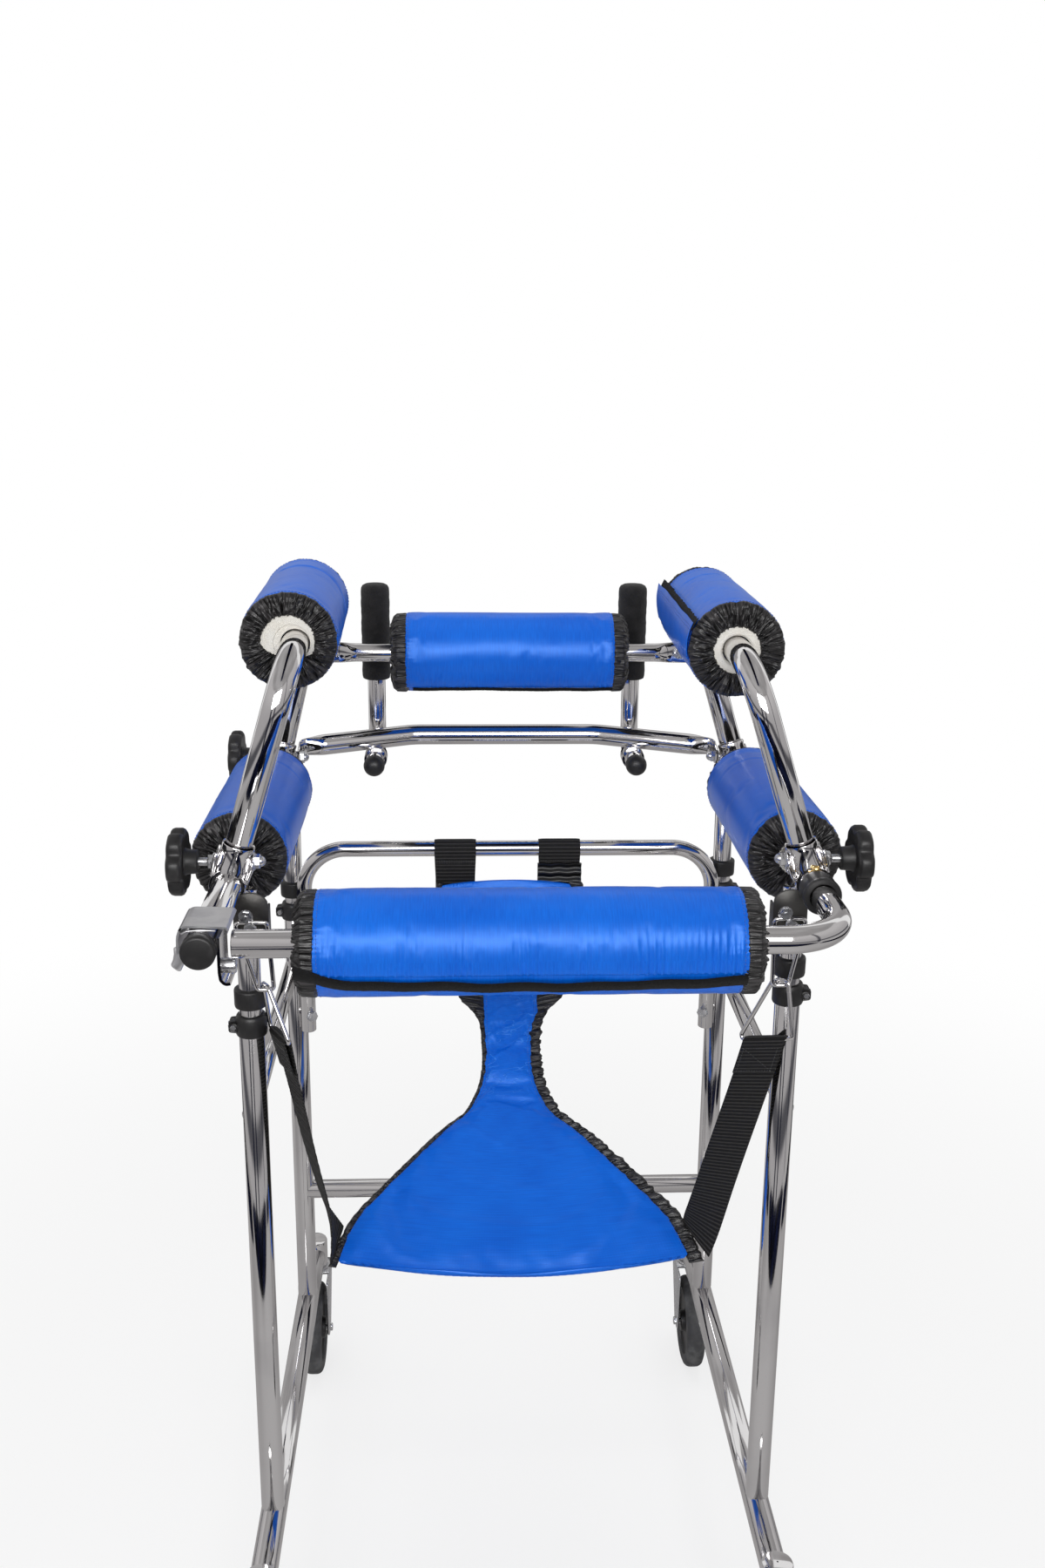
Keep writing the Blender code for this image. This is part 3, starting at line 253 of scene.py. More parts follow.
def zinc_plate():
    skin = Finish("zinc_plate", "zinc_steel", Metallic=1.0)
    spangle = skin.node("ShaderNodeTexVoronoi", {"Vector": skin.place(), "Scale": 260.0}, output="Color")
    tone = skin.along("X", spangle)
    rub = skin.cloud(60.0, 4.0).between(0.4, 0.7)
    skin.set(Roughness=0.20 + tone * 0.10 + rub * 0.10)
    skin.set(Base_Color=skin.mix(tone * 0.6 + rub * 0.3, (0.70, 0.70, 0.71), (0.50, 0.51, 0.53)))
    return skin.bump(skin.cloud(500.0, 2.0), 0.0001, 0.3)


def worn(name, slot, patches, rough, tones, grain, **constants):
    """A skin worn in patches: their noise, the roughness and its rise, two tones and a fine bump."""
    skin = Finish(name, slot, **constants)
    scale, detail, low, high = patches
    rub = skin.cloud(scale, detail).between(low, high)
    skin.set(Roughness=rough[0] + rub * rough[1])
    skin.set(Base_Color=skin.mix(rub, *tones))
    return skin.bump(skin.cloud(*grain[:2]), *grain[2:])


def moulded_plastic():
    skin = Finish("moulded_plastic", "black_plastic", Specular_IOR_Level=0.42)
    grain = skin.cloud(1500.0, 2.0)
    rub = skin.cloud(45.0, 3.0).between(0.5, 0.8)
    skin.set(Roughness=0.34 + grain * 0.12 + rub * 0.12)
    skin.set(Base_Color=skin.mix(rub, (0.0135, 0.0130, 0.0135), (0.031, 0.029, 0.030)))
    return skin.bump(grain, 0.00012, 0.5)


def foam_rubber(name, slot, one, two):
    """Open foam: soft pits at two scales."""
    skin = Finish(name, slot, Sheen_Weight=0.10, Sheen_Roughness=0.6, Specular_IOR_Level=0.15)
    pits = skin.node("ShaderNodeTexVoronoi", {"Vector": skin.place(), "Scale": 900.0}, output="Distance")
    blotch = skin.cloud(70.0, 3.0)
    skin.set(Roughness=0.80 + pits * 0.15)
    skin.set(Base_Color=skin.mix(blotch.between(0.3, 0.7) * 0.7 + pits * 0.3, one, two))
    return skin.bump(pits + blotch * 0.6, 0.0006, 0.7)


CHROME = bright_chrome()
STEEL = zinc_plate()
PLASTIC = moulded_plastic()
DARK = worn("dark_plate", "chrome", (30.0, 3.0, 0.35, 0.7), (0.34, 0.14),
            ((0.045, 0.043, 0.041), (0.085, 0.082, 0.078)), (300.0, 2.0, 0.0002, 0.4),
            Metallic=0.6, Specular_IOR_Level=0.3)
SATIN = worn("satin_sheet", "chrome", (40.0, 3.0, 0.35, 0.7), (0.30, 0.12),
             ((0.66, 0.66, 0.67), (0.52, 0.52, 0.54)), (260.0, 2.0, 0.0002, 0.4), Metallic=0.9)
BRASS = worn("turned_brass", "brass", (180.0, 3.0, 0.4, 0.7), (0.18, 0.16),
             ((0.86, 0.62, 0.25), (0.60, 0.40, 0.14)), (400.0, 2.0, 0.0001, 0.4), Metallic=1.0)
RUBBER = worn("tyre_rubber", "grey_rubber", (50.0, 4.0, 0.4, 0.75), (0.62, 0.25),
              ((0.050, 0.050, 0.053), (0.12, 0.12, 0.12)), (700.0, 3.0, 0.0003, 0.6),
              Specular_IOR_Level=0.35)
GRIP_FOAM = foam_rubber("grip_foam", "black_foam", (0.0105, 0.0102, 0.0110), (0.026, 0.025, 0.026))

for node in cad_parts.values():
    node.data.materials.clear()
    node.data.materials.append(CHROME.material)


def camera():
    lens = bpy.data.cameras.new("photo_view")
    lens.sensor_width = 36.0
    lens.lens = 34.0
    eye = placed("photo_view", lens)
    pitch, yaw, roll = (math.radians(angle) for angle in (15.8, 2.5, 0.5))
    ahead = Vector((math.sin(yaw) * math.cos(pitch), math.cos(yaw) * math.cos(pitch), -math.sin(pitch)))
    side = ahead.cross(UP).normalized()
    over = side.cross(ahead)
    right = side * math.cos(roll) + over * math.sin(roll)
    up = over * math.cos(roll) - side * math.sin(roll)
    turn = Matrix((right, up, -ahead)).transposed().to_4x4()
    eye.matrix_world = Matrix.Translation(at(-0.060, -1.204, 0.484)) @ turn
    lens.clip_start, lens.clip_end = 0.05, 60.0
    bpy.context.scene.camera = eye


def rounded(points, bends, step=7.0):
    """The corner points of a path with each inner corner replaced by an arc."""
    path = [Vector(points[0])]
    for before, here, after, radius in zip(points, points[1:], points[2:], bends):
        here = Vector(here)
        inward, outward = (here - Vector(before)).normalized(), (Vector(after) - here).normalized()
        turn = inward.angle(outward)
        if turn < 0.01:
            path.append(here)
            continue
        trim = radius * math.tan(turn / 2)
        axis = inward.cross(outward).normalized()
        centre = here - inward * trim + axis.cross(inward) * radius
        arm = here - inward * trim - centre
        count = max(2, math.ceil(math.degrees(turn) / step))
        path += [centre + Matrix.Rotation(turn * i / count, 3, axis) @ arm for i in range(count + 1)]
    path.append(Vector(points[-1]))
    return path


def soft_corners(outline, radius, step=15.0):
    """A closed flat outline of (u, v) pairs with its corners rounded."""
    places = [Vector((u, v, 0)) for u, v in outline]
    start = (places[-1] + places[0]) / 2
    path = rounded([start, *places, start], [radius] * len(places), step)
    return [(p.x, p.y) for p in path[:-1]]


def circle(count, radius=1.0, turn=0.0):
    return [(radius * math.cos(TAU * i / count + turn), radius * math.sin(TAU * i / count + turn))
            for i in range(count)]


def cross_frames(path, closed=False, up=None):
    """At each point of a path, its run and two directions across, carried along without twist."""
    points = [Vector(p) for p in path]
    count = len(points)
    runs = []
    for i in range(count):
        before = points[(i - 1) % count] if closed or i else points[0]
        after = points[(i + 1) % count] if closed or i < count - 1 else points[-1]
        runs.append((after - before).normalized())
    side = runs[0].orthogonal().normalized()
    frames = []
    for before, run in zip([runs[0]] + runs, runs):
        side = before.rotation_difference(run) @ side
        if up is not None:
            side = run.cross(up)
        side = (side - run * side.dot(run)).normalized()
        frames.append((run, side, run.cross(side)))
    return points, frames


class Shape:
    """The surface of one piece, grown part by part from stacked rings of points."""

    def __init__(self):
        self.points = []
        self.faces = []
        self.cloth = []

    def loft(self, rings, along=False, cloth=None):
        """Skins stacked rings, capped, or with along joined end to end. cloth gives the metres around
        and along, one more than the points."""
        rings = np.asarray([[tuple(p) for p in ring] for ring in rings], dtype=float)
        rows, cols = rings.shape[:2]
        index = np.arange(rows * cols).reshape(rows, cols) + len(self.points)
        wide = np.hstack([index, index[:, :1]])
        tall = np.vstack([wide, wide[:1]]) if along else wide
        quads = np.stack([tall[:-1, :-1], tall[:-1, 1:], tall[1:, 1:], tall[1:, :-1]], axis=-1)
        high, broad = quads.shape[:2]
        self.faces += quads.reshape(-1, 4).tolist()
        if cloth is None:
            self.cloth.append(np.zeros((high * broad * 4, 2)))
        else:
            across, down = np.asarray(cloth[0])[:broad + 1], np.asarray(cloth[1])[:high + 1]
            grid = np.stack(np.meshgrid(across, down), axis=-1)
            corners = np.stack([grid[:-1, :-1], grid[:-1, 1:], grid[1:, 1:], grid[1:, :-1]], axis=2)
            self.cloth.append(corners.reshape(-1, 2))
        if not along:
            for cap in (index[0, ::-1], index[-1]):
                self.faces.append(cap.tolist())
                self.cloth.append(np.zeros((cols, 2)))
        self.points += rings.reshape(-1, 3).tolist()
        return self

    def tube(self, path, radius, sides=32, closed=False, edge=0.0007, up=None, section=None):
        """A swept bar. section(i, share) may give its half width and half height at a station."""
        points, frames = cross_frames(path, closed, up)
        lengths = np.cumsum([0.0] + [(b - a).length for a, b in zip(points, points[1:])])
        sizes = [section(share) if section else (radius, radius) for share in lengths / lengths[-1]]
        stations = list(zip(points, frames, sizes))
        if not closed and edge:
            first, last = stations[0], stations[-1]
            stations = [(first[0], first[1], [s - edge for s in first[2]]),
                        (first[0] + first[1][0] * edge, first[1], first[2])] + stations[1:-1]
            stations += [(last[0] - last[1][0] * edge, last[1], last[2]),
                         (last[0], last[1], [s - edge for s in last[2]])]
        wheel = circle(sides)
        rings = [[p + side * (c * a) + over * (s * b) for c, s in wheel]
                 for p, (_, side, over), (a, b) in stations]
        return self.loft(rings, along=closed)

    def rod(self, start, end, radius, sides=32):
        return self.tube([start, end], radius, sides)

    def turned(self, profile, place, axis, sides=40, spin=0.0):
        """A turned body from (radius, along) pairs; zero radii close it, otherwise it is a ring."""
        turn = Vector(axis).to_track_quat("Z", "Y").to_matrix()
        place = Vector(place)
        solid = [pair for pair in profile if pair[0] > 0]
        rings = [[place + turn @ Vector((c, s, along)) for c, s in circle(sides, radius, spin)]
                 for radius, along in solid]
        return self.loft(rings, along=len(solid) == len(profile))

    def slab(self, outline, low, high, axes, edge=0.0005):
        """A flat plate with softened edges, its outline in (u, v), its thickness along the third axis."""
        origin, u_axis, v_axis, w_axis = (Vector(a) for a in axes)
        spots = [Vector((u, v)) for u, v in outline]
        area = sum(a.x * b.y - a.y * b.x for a, b in zip(spots, spots[1:] + spots[:1]))
        inner = []
        for before, here, after in zip(spots[-1:] + spots[:-1], spots, spots[1:] + spots[:1]):
            run = (after - here).normalized() + (here - before).normalized()
            inward = Vector((-run.y, run.x)).normalized() * math.copysign(1.0, area)
            inner.append(here + inward * edge)
        rings = [[origin + u_axis * p.x + v_axis * p.y + w_axis * w for p in ring]
                 for ring, w in ((inner, low), (spots, low + edge), (spots, high - edge), (inner, high))]
        return self.loft(rings)

    def box(self, low, high, edge=0.0006):
        low, high = Vector(low), Vector(high)
        outline = [(low.x, low.y), (high.x, low.y), (high.x, high.y), (low.x, high.y)]
        outline = soft_corners(outline, min(edge * 2, (high.x - low.x) / 3, (high.y - low.y) / 3), 30.0)
        axes = ((0, 0, 0), RIGHT, AHEAD, UP)
        return self.slab(outline, low.z, high.z, axes, min(edge, (high.z - low.z) / 3))

    def hex_head(self, place, axis, across, height, spin=0.0):
        """A bolt head or nut, its corners chamfered, standing on a face."""
        radius = across / math.sqrt(3)
        profile = [(0, 0), (radius, 0), (radius, height * 0.82), (radius * 0.90, height), (0, height)]
        return self.turned(profile, place, axis, 6, spin)

    def washer(self, place, axis, radius, height):
        return self.turned([(0.001, 0), (radius, 0), (radius, height), (0.001, height)], place, axis, 32)

    def make(self, name, angle=48.0):
        mesh = bpy.data.meshes.new(name)
        mesh.from_pydata(self.points, [], self.faces)
        mesh.uv_layers.new(name="cloth").data.foreach_set("uv", np.vstack(self.cloth).ravel())
        bm = bmesh.new()
        bm.from_mesh(mesh)
        bmesh.ops.recalc_face_normals(bm, faces=bm.faces)
        bm.to_mesh(mesh)
        bm.free()
        mesh.shade_smooth()
        mesh.set_sharp_from_angle(angle=math.radians(angle))
        return placed(name, mesh)


def dress(piece, name, body, finish, *nodes):
    """Finishes a piece, sets it riding and hides the solids that it stands for."""
    obj = piece.make(name) if isinstance(piece, Shape) else piece
    obj.data.materials.clear()
    obj.data.materials.append(finish.material)
    if body:
        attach(obj, body)
    if nodes:
        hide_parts(*nodes)
    return obj


def loop_axis(side, place):
    foot = at(SIDES[side] * RAIL_X, LEGS[place], 0.0)
    return foot, at(SIDES[side] * LOOP_TOP_X[place][side], LOOP_TOP_Y[place], LOOP_RISE[side])


def loop_at(side, place, rise):
    """Where a loop leg's axis is at a height above the rails."""
    foot, top = loop_axis(side, place)
    return foot.lerp(top, rise / LOOP_RISE[side])


# Metal frame.

def rails():
    for side, sign in SIDES.items():
        x, start = sign * RAIL_X, RAIL_START[side]
        shape = Shape().rod(at(x, start, 0), at(x, RAIL_END, 0), RAIL_R, 48)
        dress(shape, f"{side}_rail_tube", "upper_frame", CHROME, f"{side}_rail")
        plug = Shape().turned([(0, 0), (0.0118, 0), (0.0125, 0.0010), (0.0118, 0.0022), (0, 0.0024)],
                              at(x, RAIL_END - 0.0006, 0), AHEAD)
        dress(plug, f"{side}_rail_plug", "upper_frame", PLASTIC)
    cap = Shape().turned([(0, 0.0032), (0.0128, 0.0032), (0.0146, 0.0026), (0.0155, 0.0008),
                          (0.0155, -0.0085), (0.0150, -0.0092), (0, -0.0092)],
                         at(-RAIL_X, RAIL_START["left"], 0), -AHEAD, 56)
    dress(cap, "left_rail_cap", "upper_frame", PLASTIC)
    collar = Shape().turned([(0.0130, -0.0010), (0.0150, -0.0012), (0.0176, -0.0008), (0.0185, 0.0010),
                             (0.0185, 0.0040), (0.0176, 0.0052), (0.0172, 0.0070), (0.0178, 0.0100),
                             (0.0181, 0.0220), (0.0176, 0.0256), (0.0146, 0.0262), (0.0130, 0.0240)],
                            at(RAIL_X, RAIL_START["right"], 0), AHEAD, 56)
    dress(collar, "right_rail_collar", "upper_frame", PLASTIC)


def gate_bar():
    left = -RAIL_X + RAIL_R + 0.0122
    path = [at(left, 0, 0), at(RAIL_X, 0, 0), at(RAIL_X, RAIL_START["right"] + 0.070, 0)]
    path = rounded(path, (0.058,), FINE_BEND)
    dress(Shape().tube(path, GATE_R, 48), "gate_tube", "gate", CHROME, "gate_bar")
    hole = at(RAIL_X, RAIL_START["right"] + 0.033, 0)
    button = Shape().turned([(0, 0.0203), (0.0020, 0.0201), (0.0034, 0.0190), (0.0040, 0.0170),
                             (0.0040, 0.0150), (0.0040, 0.0098), (0, 0.0096)], hole, UP)
    dress(button, "gate_button_brass", "button", BRASS, "gate_button")
    seat = Shape().turned([(0.0044, 0.0146), (0.0068, 0.0144), (0.0074, 0.0138), (0.0074, 0.0120),
                           (0.0044, 0.0120)], hole, UP)
    dress(seat, "gate_button_bush", "upper_frame", BRASS)


def arm_loops():
    for side, sign in SIDES.items():
        near_foot, near_top = loop_axis(side, "near")
        far_foot, far_top = loop_axis(side, "far")
        lift = (RAIL_R - 0.004) / LOOP_RISE[side]
        path = rounded([near_foot.lerp(near_top, lift), near_top, far_top, far_foot.lerp(far_top, lift)],
                       (0.055, 0.055), FINE_BEND)
        shape = Shape().tube(path, LOOP_R, 48)
        leg = loop_at(side, "far", CHEST_RISE)
        low, high = sorted((leg.x - sign * 0.011, leg.x - sign * 0.048))
        bottom, top = leg.z - 0.012, leg.z + 0.012
        lug = soft_corners([(low, bottom), (high, bottom), (high, top), (low, top)], 0.005)
        y = GATE_Y + CHEST_Y
        shape.slab(lug, y - 0.0015, y + 0.0015, ((0, 0, 0), RIGHT, UP, AHEAD), 0.0006)
        weld = leg.x - sign * 0.012
        shape.tube([(weld, y, leg.z - 0.010), (weld, y, leg.z + 0.010)], 0.003, 12)
        dress(shape, f"{side}_loop_tube", "upper_frame", CHROME, f"{side}_arm_loop")


def clamps():
    """A folded strap round the rail, a cuff round the loop's foot, ears, cross bolt and acorn nut."""
    for side, sign in SIDES.items():
        for place in LEGS:
            foot, top = loop_axis(side, place)
            up = (top - foot).normalized()
            out = Vector((sign, 0, 0))
            across = (out - up * out.dot(up)).normalized()
            middle = loop_at(side, place, BOLT_RISE)
            band = [(0.0158, -0.0148), (0.0170, -0.0150), (0.0174, -0.0142), (0.0174, 0.0142),
                    (0.0170, 0.0150), (0.0158, 0.0148)]
            shape = Shape().turned(band, foot, AHEAD, 56)
            cuff = [(0.0140, 0.016), (0.0176, 0.012), (0.0170, 0.018), (0.0158, 0.022), (0.0157, 0.034),
                    (0.0163, 0.0385), (0.0158, 0.0400), (0.0146, 0.0392), (0.0140, 0.036)]
            shape.turned(cuff, foot, up, 48)
            for way in (-1, 1):
                ear = soft_corners([(-0.0135, 0.004), (0.0135, 0.004), (0.0115, 0.0325), (-0.0115, 0.0325)],
                                   0.0075, 10.0)
                shape.slab(ear, 0.0146, 0.0172, (foot, AHEAD, up, across * way), 0.0007)
                curl = ((0.006, 0.0168), (0.013, 0.0178), (0.022, 0.0184), (0.030, 0.0176))
                for edge_way in (-1, 1):
                    lip = [foot + AHEAD * (edge_way * 0.0128) + up * rise + across * (way * out_by)
                           for rise, out_by in curl]
                    shape.tube(lip, 0.0017, 12)
            dress(shape, f"{side}_{place}_clamp_strap", "upper_frame", CHROME, f"{side}_{place}_clamp")
            liner = Shape().turned([(0.0144, -0.0138), (0.0160, -0.0138), (0.0160, 0.0138), (0.0144, 0.0138)],
                                   foot, AHEAD, 40)
            dress(liner, f"{side}_{place}_clamp_liner", "upper_frame", PLASTIC)
            held = 0.0186 + (0.0046 if place == "far" else 0.0)
            tip = Vector((sign * (KNOB_AT - 0.010), middle.y, middle.z))
            screw = Shape().rod(middle - out * (held + 0.004), tip, 0.0040, 20)
            screw.turned([(0.0042, 0), (0.0088, 0), (0.0090, 0.0008), (0.0086, 0.0014), (0.0042, 0.0014)],
                         middle + out * 0.0186, out, 32)
            screw.hex_head(middle + out * 0.0200, out, 0.013, 0.0050, 0.3)
            face = middle - out * held
            screw.turned([(0.0042, 0), (0.0086, 0), (0.0088, 0.0006), (0.0084, 0.0012), (0.0042, 0.0012)],
                         face, -out, 32)
            screw.hex_head(face - out * 0.0012, -out, 0.0125, 0.0052, 0.2)
            screw.turned([(0, 0.0115), (0.0016, 0.0113), (0.0034, 0.0104), (0.0048, 0.0086), (0.0054, 0.0064),
                          (0.0054, 0.0050), (0, 0.0050)], face, -out, 32)
            dress(screw, f"{side}_{place}_clamp_bolt", "upper_frame", STEEL)


def star_knobs():
    """Six soft lobes with flat faces between shallow scallops, on a long hub."""
    count, tip_r, scallop = 96, 0.0330, 0.0056
    for side, sign in SIDES.items():
        for place in LEGS:
            middle = loop_at(side, place, BOLT_RISE)
            centre = Vector((sign * KNOB_AT, middle.y, middle.z))
            turn = Vector((sign, 0, 0)).to_track_quat("Z", "Y").to_matrix()
            rings = []
            levels = ((0.40, -0.0024), (0.80, -0.0032), (0.90, -0.0030), (0.965, -0.0016),
                      (1.0, 0.0006), (1.0, 0.0072), (0.975, 0.0098), (0.92, 0.0114), (0.84, 0.0121),
                      (0.60, 0.0121), (0.40, 0.0116))
            for scale, along in levels:
                ring = []
                for i in range(count):
                    angle = TAU * i / count
                    lobe = 0.5 - 0.5 * math.cos(6 * angle)
                    radius = tip_r - scallop * lobe ** 3 * min(1.0, scale * scale)
                    ring.append(centre + turn @ Vector((radius * scale * math.cos(angle),
                                                        radius * scale * math.sin(angle), along)))
                rings.append(ring)
            shape = Shape().loft(rings)
            shape.turned([(0.0042, -0.0150), (0.0108, -0.0150), (0.0116, -0.0142), (0.0122, -0.0052),
                          (0.0136, -0.0024), (0.0042, -0.0024)], centre, (sign, 0, 0), 40)
            body = f"{side}_{place}_knob"
            dress(shape, f"{body}_moulding", body, PLASTIC, body)
            stud = Shape().turned([(0, -0.0236), (0.0036, -0.0236), (0.0040, -0.0232), (0.0040, -0.0140),
                                   (0, -0.0140)], centre, (sign, 0, 0), 24)
            dress(stud, f"{body}_stud", body, STEEL)


def chest_bar():
    """The bar under the chest roll, its flattened ends bolted to the loops' lugs."""
    legs = {side: loop_at(side, "far", CHEST_RISE) for side in SIDES}
    y = GATE_Y + CHEST_Y - CHEST_BACK
    z = RAIL_Z + CHEST_RISE
    left, right = legs["left"].x + 0.020, legs["right"].x - 0.020
    stops = [left, left + 0.024, left + 0.033, left + 0.044]
    stops += [right - (x - left) for x in reversed(stops)]

    def section(share):
        x = left + share * (right - left)
        blend = eased((min(x - left, right - x) - 0.024) / 0.020)
        return 0.0017 + (CHEST_R - 0.0017) * blend, 0.0125 - (0.0125 - CHEST_R) * blend

    stops += [left + i * (right - left) / 60 for i in range(61)]
    path = [Vector((x, y - CHEST_BACK, z)) for x in sorted({round(x, 5) for x in stops})]
    shape = Shape().tube(path, CHEST_R, 48, up=UP, section=section, edge=0.0)
    dress(shape, "chest_tube", "upper_frame", CHROME, "chest_bar")
    bolts = Shape()
    for side, sign in SIDES.items():
        x = legs[side].x - sign * 0.034
        bolts.hex_head((x, y - 0.0036, z), -AHEAD, 0.0115, 0.0050)
        bolts.washer((x, y - 0.0026, z), -AHEAD, 0.0075, 0.0010)
        bolts.hex_head((x, y + 0.0034, z), AHEAD, 0.0105, 0.0045)
        bolts.rod((x, y, z), (x, y + 0.0098, z), 0.0029, 16)
    dress(bolts, "chest_bar_bolts", "upper_frame", STEEL)


def cross_end(side):
    """Where the bowed part of the crossbar stops, inwards of the far clamp's nut."""
    middle = loop_at(side, "far", BOLT_RISE)
    return Vector((middle.x - SIDES[side] * CROSS_BEND, GATE_Y + LEGS["far"] + 0.020, RAIL_Z + CROSS_RISE))


def cross_y(side):
    """How far forward the bowed crossbar's axis is over a handle's sleeve."""
    end = cross_end(side)
    share = (HANDLE_SPREAD - CROSS_FLAT) / (2 * abs(end.x - CROSS_MIDDLE) - CROSS_FLAT)
    return GATE_Y + CROSS_REACH + share * (end.y - GATE_Y - CROSS_REACH)


def crossbar():
    half = CROSS_FLAT / 2
    corners = []
    for side, sign in SIDES.items():
        middle = loop_at(side, "far", BOLT_RISE)
        face = middle.x - sign * CROSS_FOOT
        end = cross_end(side)
        tip = Vector((face, middle.y - 0.0095, middle.z + 0.0010))
        bend = Vector((face, end.y + 0.0010, end.z - 0.0035))
        leg = [tip, bend]
        corners += leg if side == "left" else leg[::-1]
    inner = [at(CROSS_MIDDLE + offset, CROSS_REACH, CROSS_RISE) for offset in (-half, half)]
    corners = corners[:2] + inner + corners[2:]
    fine = finer(rounded(corners, (0.012, 0.060, 0.060, 0.012), FINE_BEND), 0.004)
    length = sum((b - a).length for a, b in zip(fine, fine[1:]))

    def section(share):
        blend = eased((min(share, 1 - share) * length - 0.026) / 0.030)
        return 0.0019 + (CROSS_R - 0.0019) * blend, 0.0105 + (CROSS_R - 0.0105) * blend

    shape = Shape().tube(fine, CROSS_R, 48, up=UP, section=section, edge=0.0005)
    sleeve_z = RAIL_Z + CROSS_RISE - CROSS_R - HANDLE_R - TOUCH_GAP
    for side, sign in SIDES.items():
        centre = Vector((CROSS_MIDDLE + sign * HANDLE_SPREAD / 2, cross_y(side), sleeve_z))
        shape.turned([(0.0113, -0.0104), (0.0138, -0.0110), (0.0142, -0.0104), (0.0142, 0.0104),
                      (0.0138, 0.0110), (0.0113, 0.0104)], centre, AHEAD, 48)
        weld = [centre + Vector((reach, -0.0085, 0.0125)) for reach in (-0.009, 0.009)]
        shape.tube(weld, 0.0022, 12)
    dress(shape, "crossbar_tube", "upper_frame", CHROME, "handle_crossbar")


def handles():
    low = CROSS_RISE - CROSS_R - HANDLE_R - TOUCH_GAP
    back = CROSS_REACH + CROSS_R + HANDLE_R + 0.0015
    tail, top = back - 0.088, 0.008
    for side, sign in SIDES.items():
        body = f"{side}_hand_lever"
        x = CROSS_MIDDLE + sign * HANDLE_SPREAD / 2
        path = [at(x, tail, low), at(x, back, low), at(x, back, GRIP_TOP - top)]
        path = rounded(path, (0.026,), FINE_BEND)
        dress(Shape().tube(path, HANDLE_R, 40), f"{side}_handle_tube", body, CHROME, f"{side}_handle")
        ball = Shape().turned([(0, 0.0125), (0.0030, 0.0123), (0.0060, 0.0115), (0.0088, 0.0098),
                               (0.0110, 0.0073), (0.0125, 0.0040), (0.0130, 0.0005), (0.0128, -0.0040),
                               (0.0122, -0.0052), (0, -0.0052)], at(x, tail, low), -AHEAD, 48)
        dress(ball, f"{side}_handle_ball", body, PLASTIC)
        profile = [(0, top), (0.0060, top - 0.0002), (0.0120, top - 0.0010), (0.0155, top - 0.0028),
                   (0.0173, top - 0.0058), (0.0178, top - 0.010)]
        for i in range(1, 24):
            down = 0.010 + i * (GRIP_LENGTH - 0.016) / 24
            profile.append((0.0178 + 0.00018 * math.sin(i * 2.3) - 0.0002 * math.cos(i * 0.9), top - down))
        profile += [(0.0176, top - GRIP_LENGTH + 0.004), (0.0168, top - GRIP_LENGTH + 0.0010),
                    (0.0150, top - GRIP_LENGTH), (0.0112, top - GRIP_LENGTH), (0, top - GRIP_LENGTH + 0.0006)]
        foam = Shape().turned(profile, at(x, back, GRIP_TOP - top), UP, 56)
        grip = dress(foam, f"{side}_grip_foam", body, GRIP_FOAM, f"{side}_grip")


def strap_bar():
    corners = [at(x, HOOP_Y, z) for x, z in ((-HOOP_HALF, HOOP_FOOT), (-HOOP_HALF, HOOP_Z),
                                             (HOOP_HALF, HOOP_Z), (HOOP_HALF, HOOP_FOOT))]
    shape = Shape().tube(rounded(corners, (0.052, 0.052), FINE_BEND), HOOP_R, 40)
    bolts = Shape()
    stay_z = HOOP_FOOT + 0.022
    for sign in SIDES.values():
        leg, post = at(sign * HOOP_HALF, HOOP_Y, stay_z), at(sign * POST_X, LEGS["far"], stay_z)
        towards = (post - leg).normalized()
        shape.rod(leg, post - towards * (POST_R - 0.001), 0.0055, 24)
        bolts.hex_head(leg - towards * (HOOP_R - 0.0006), -towards, 0.0110, 0.0050)
        bolts.washer(leg - towards * (HOOP_R - 0.0014), -towards, 0.0072, 0.0011)
    dress(shape, "strap_hoop_tube", "base_frame", CHROME, "strap_bar")
    dress(bolts, "strap_hoop_bolts", "base_frame", STEEL)


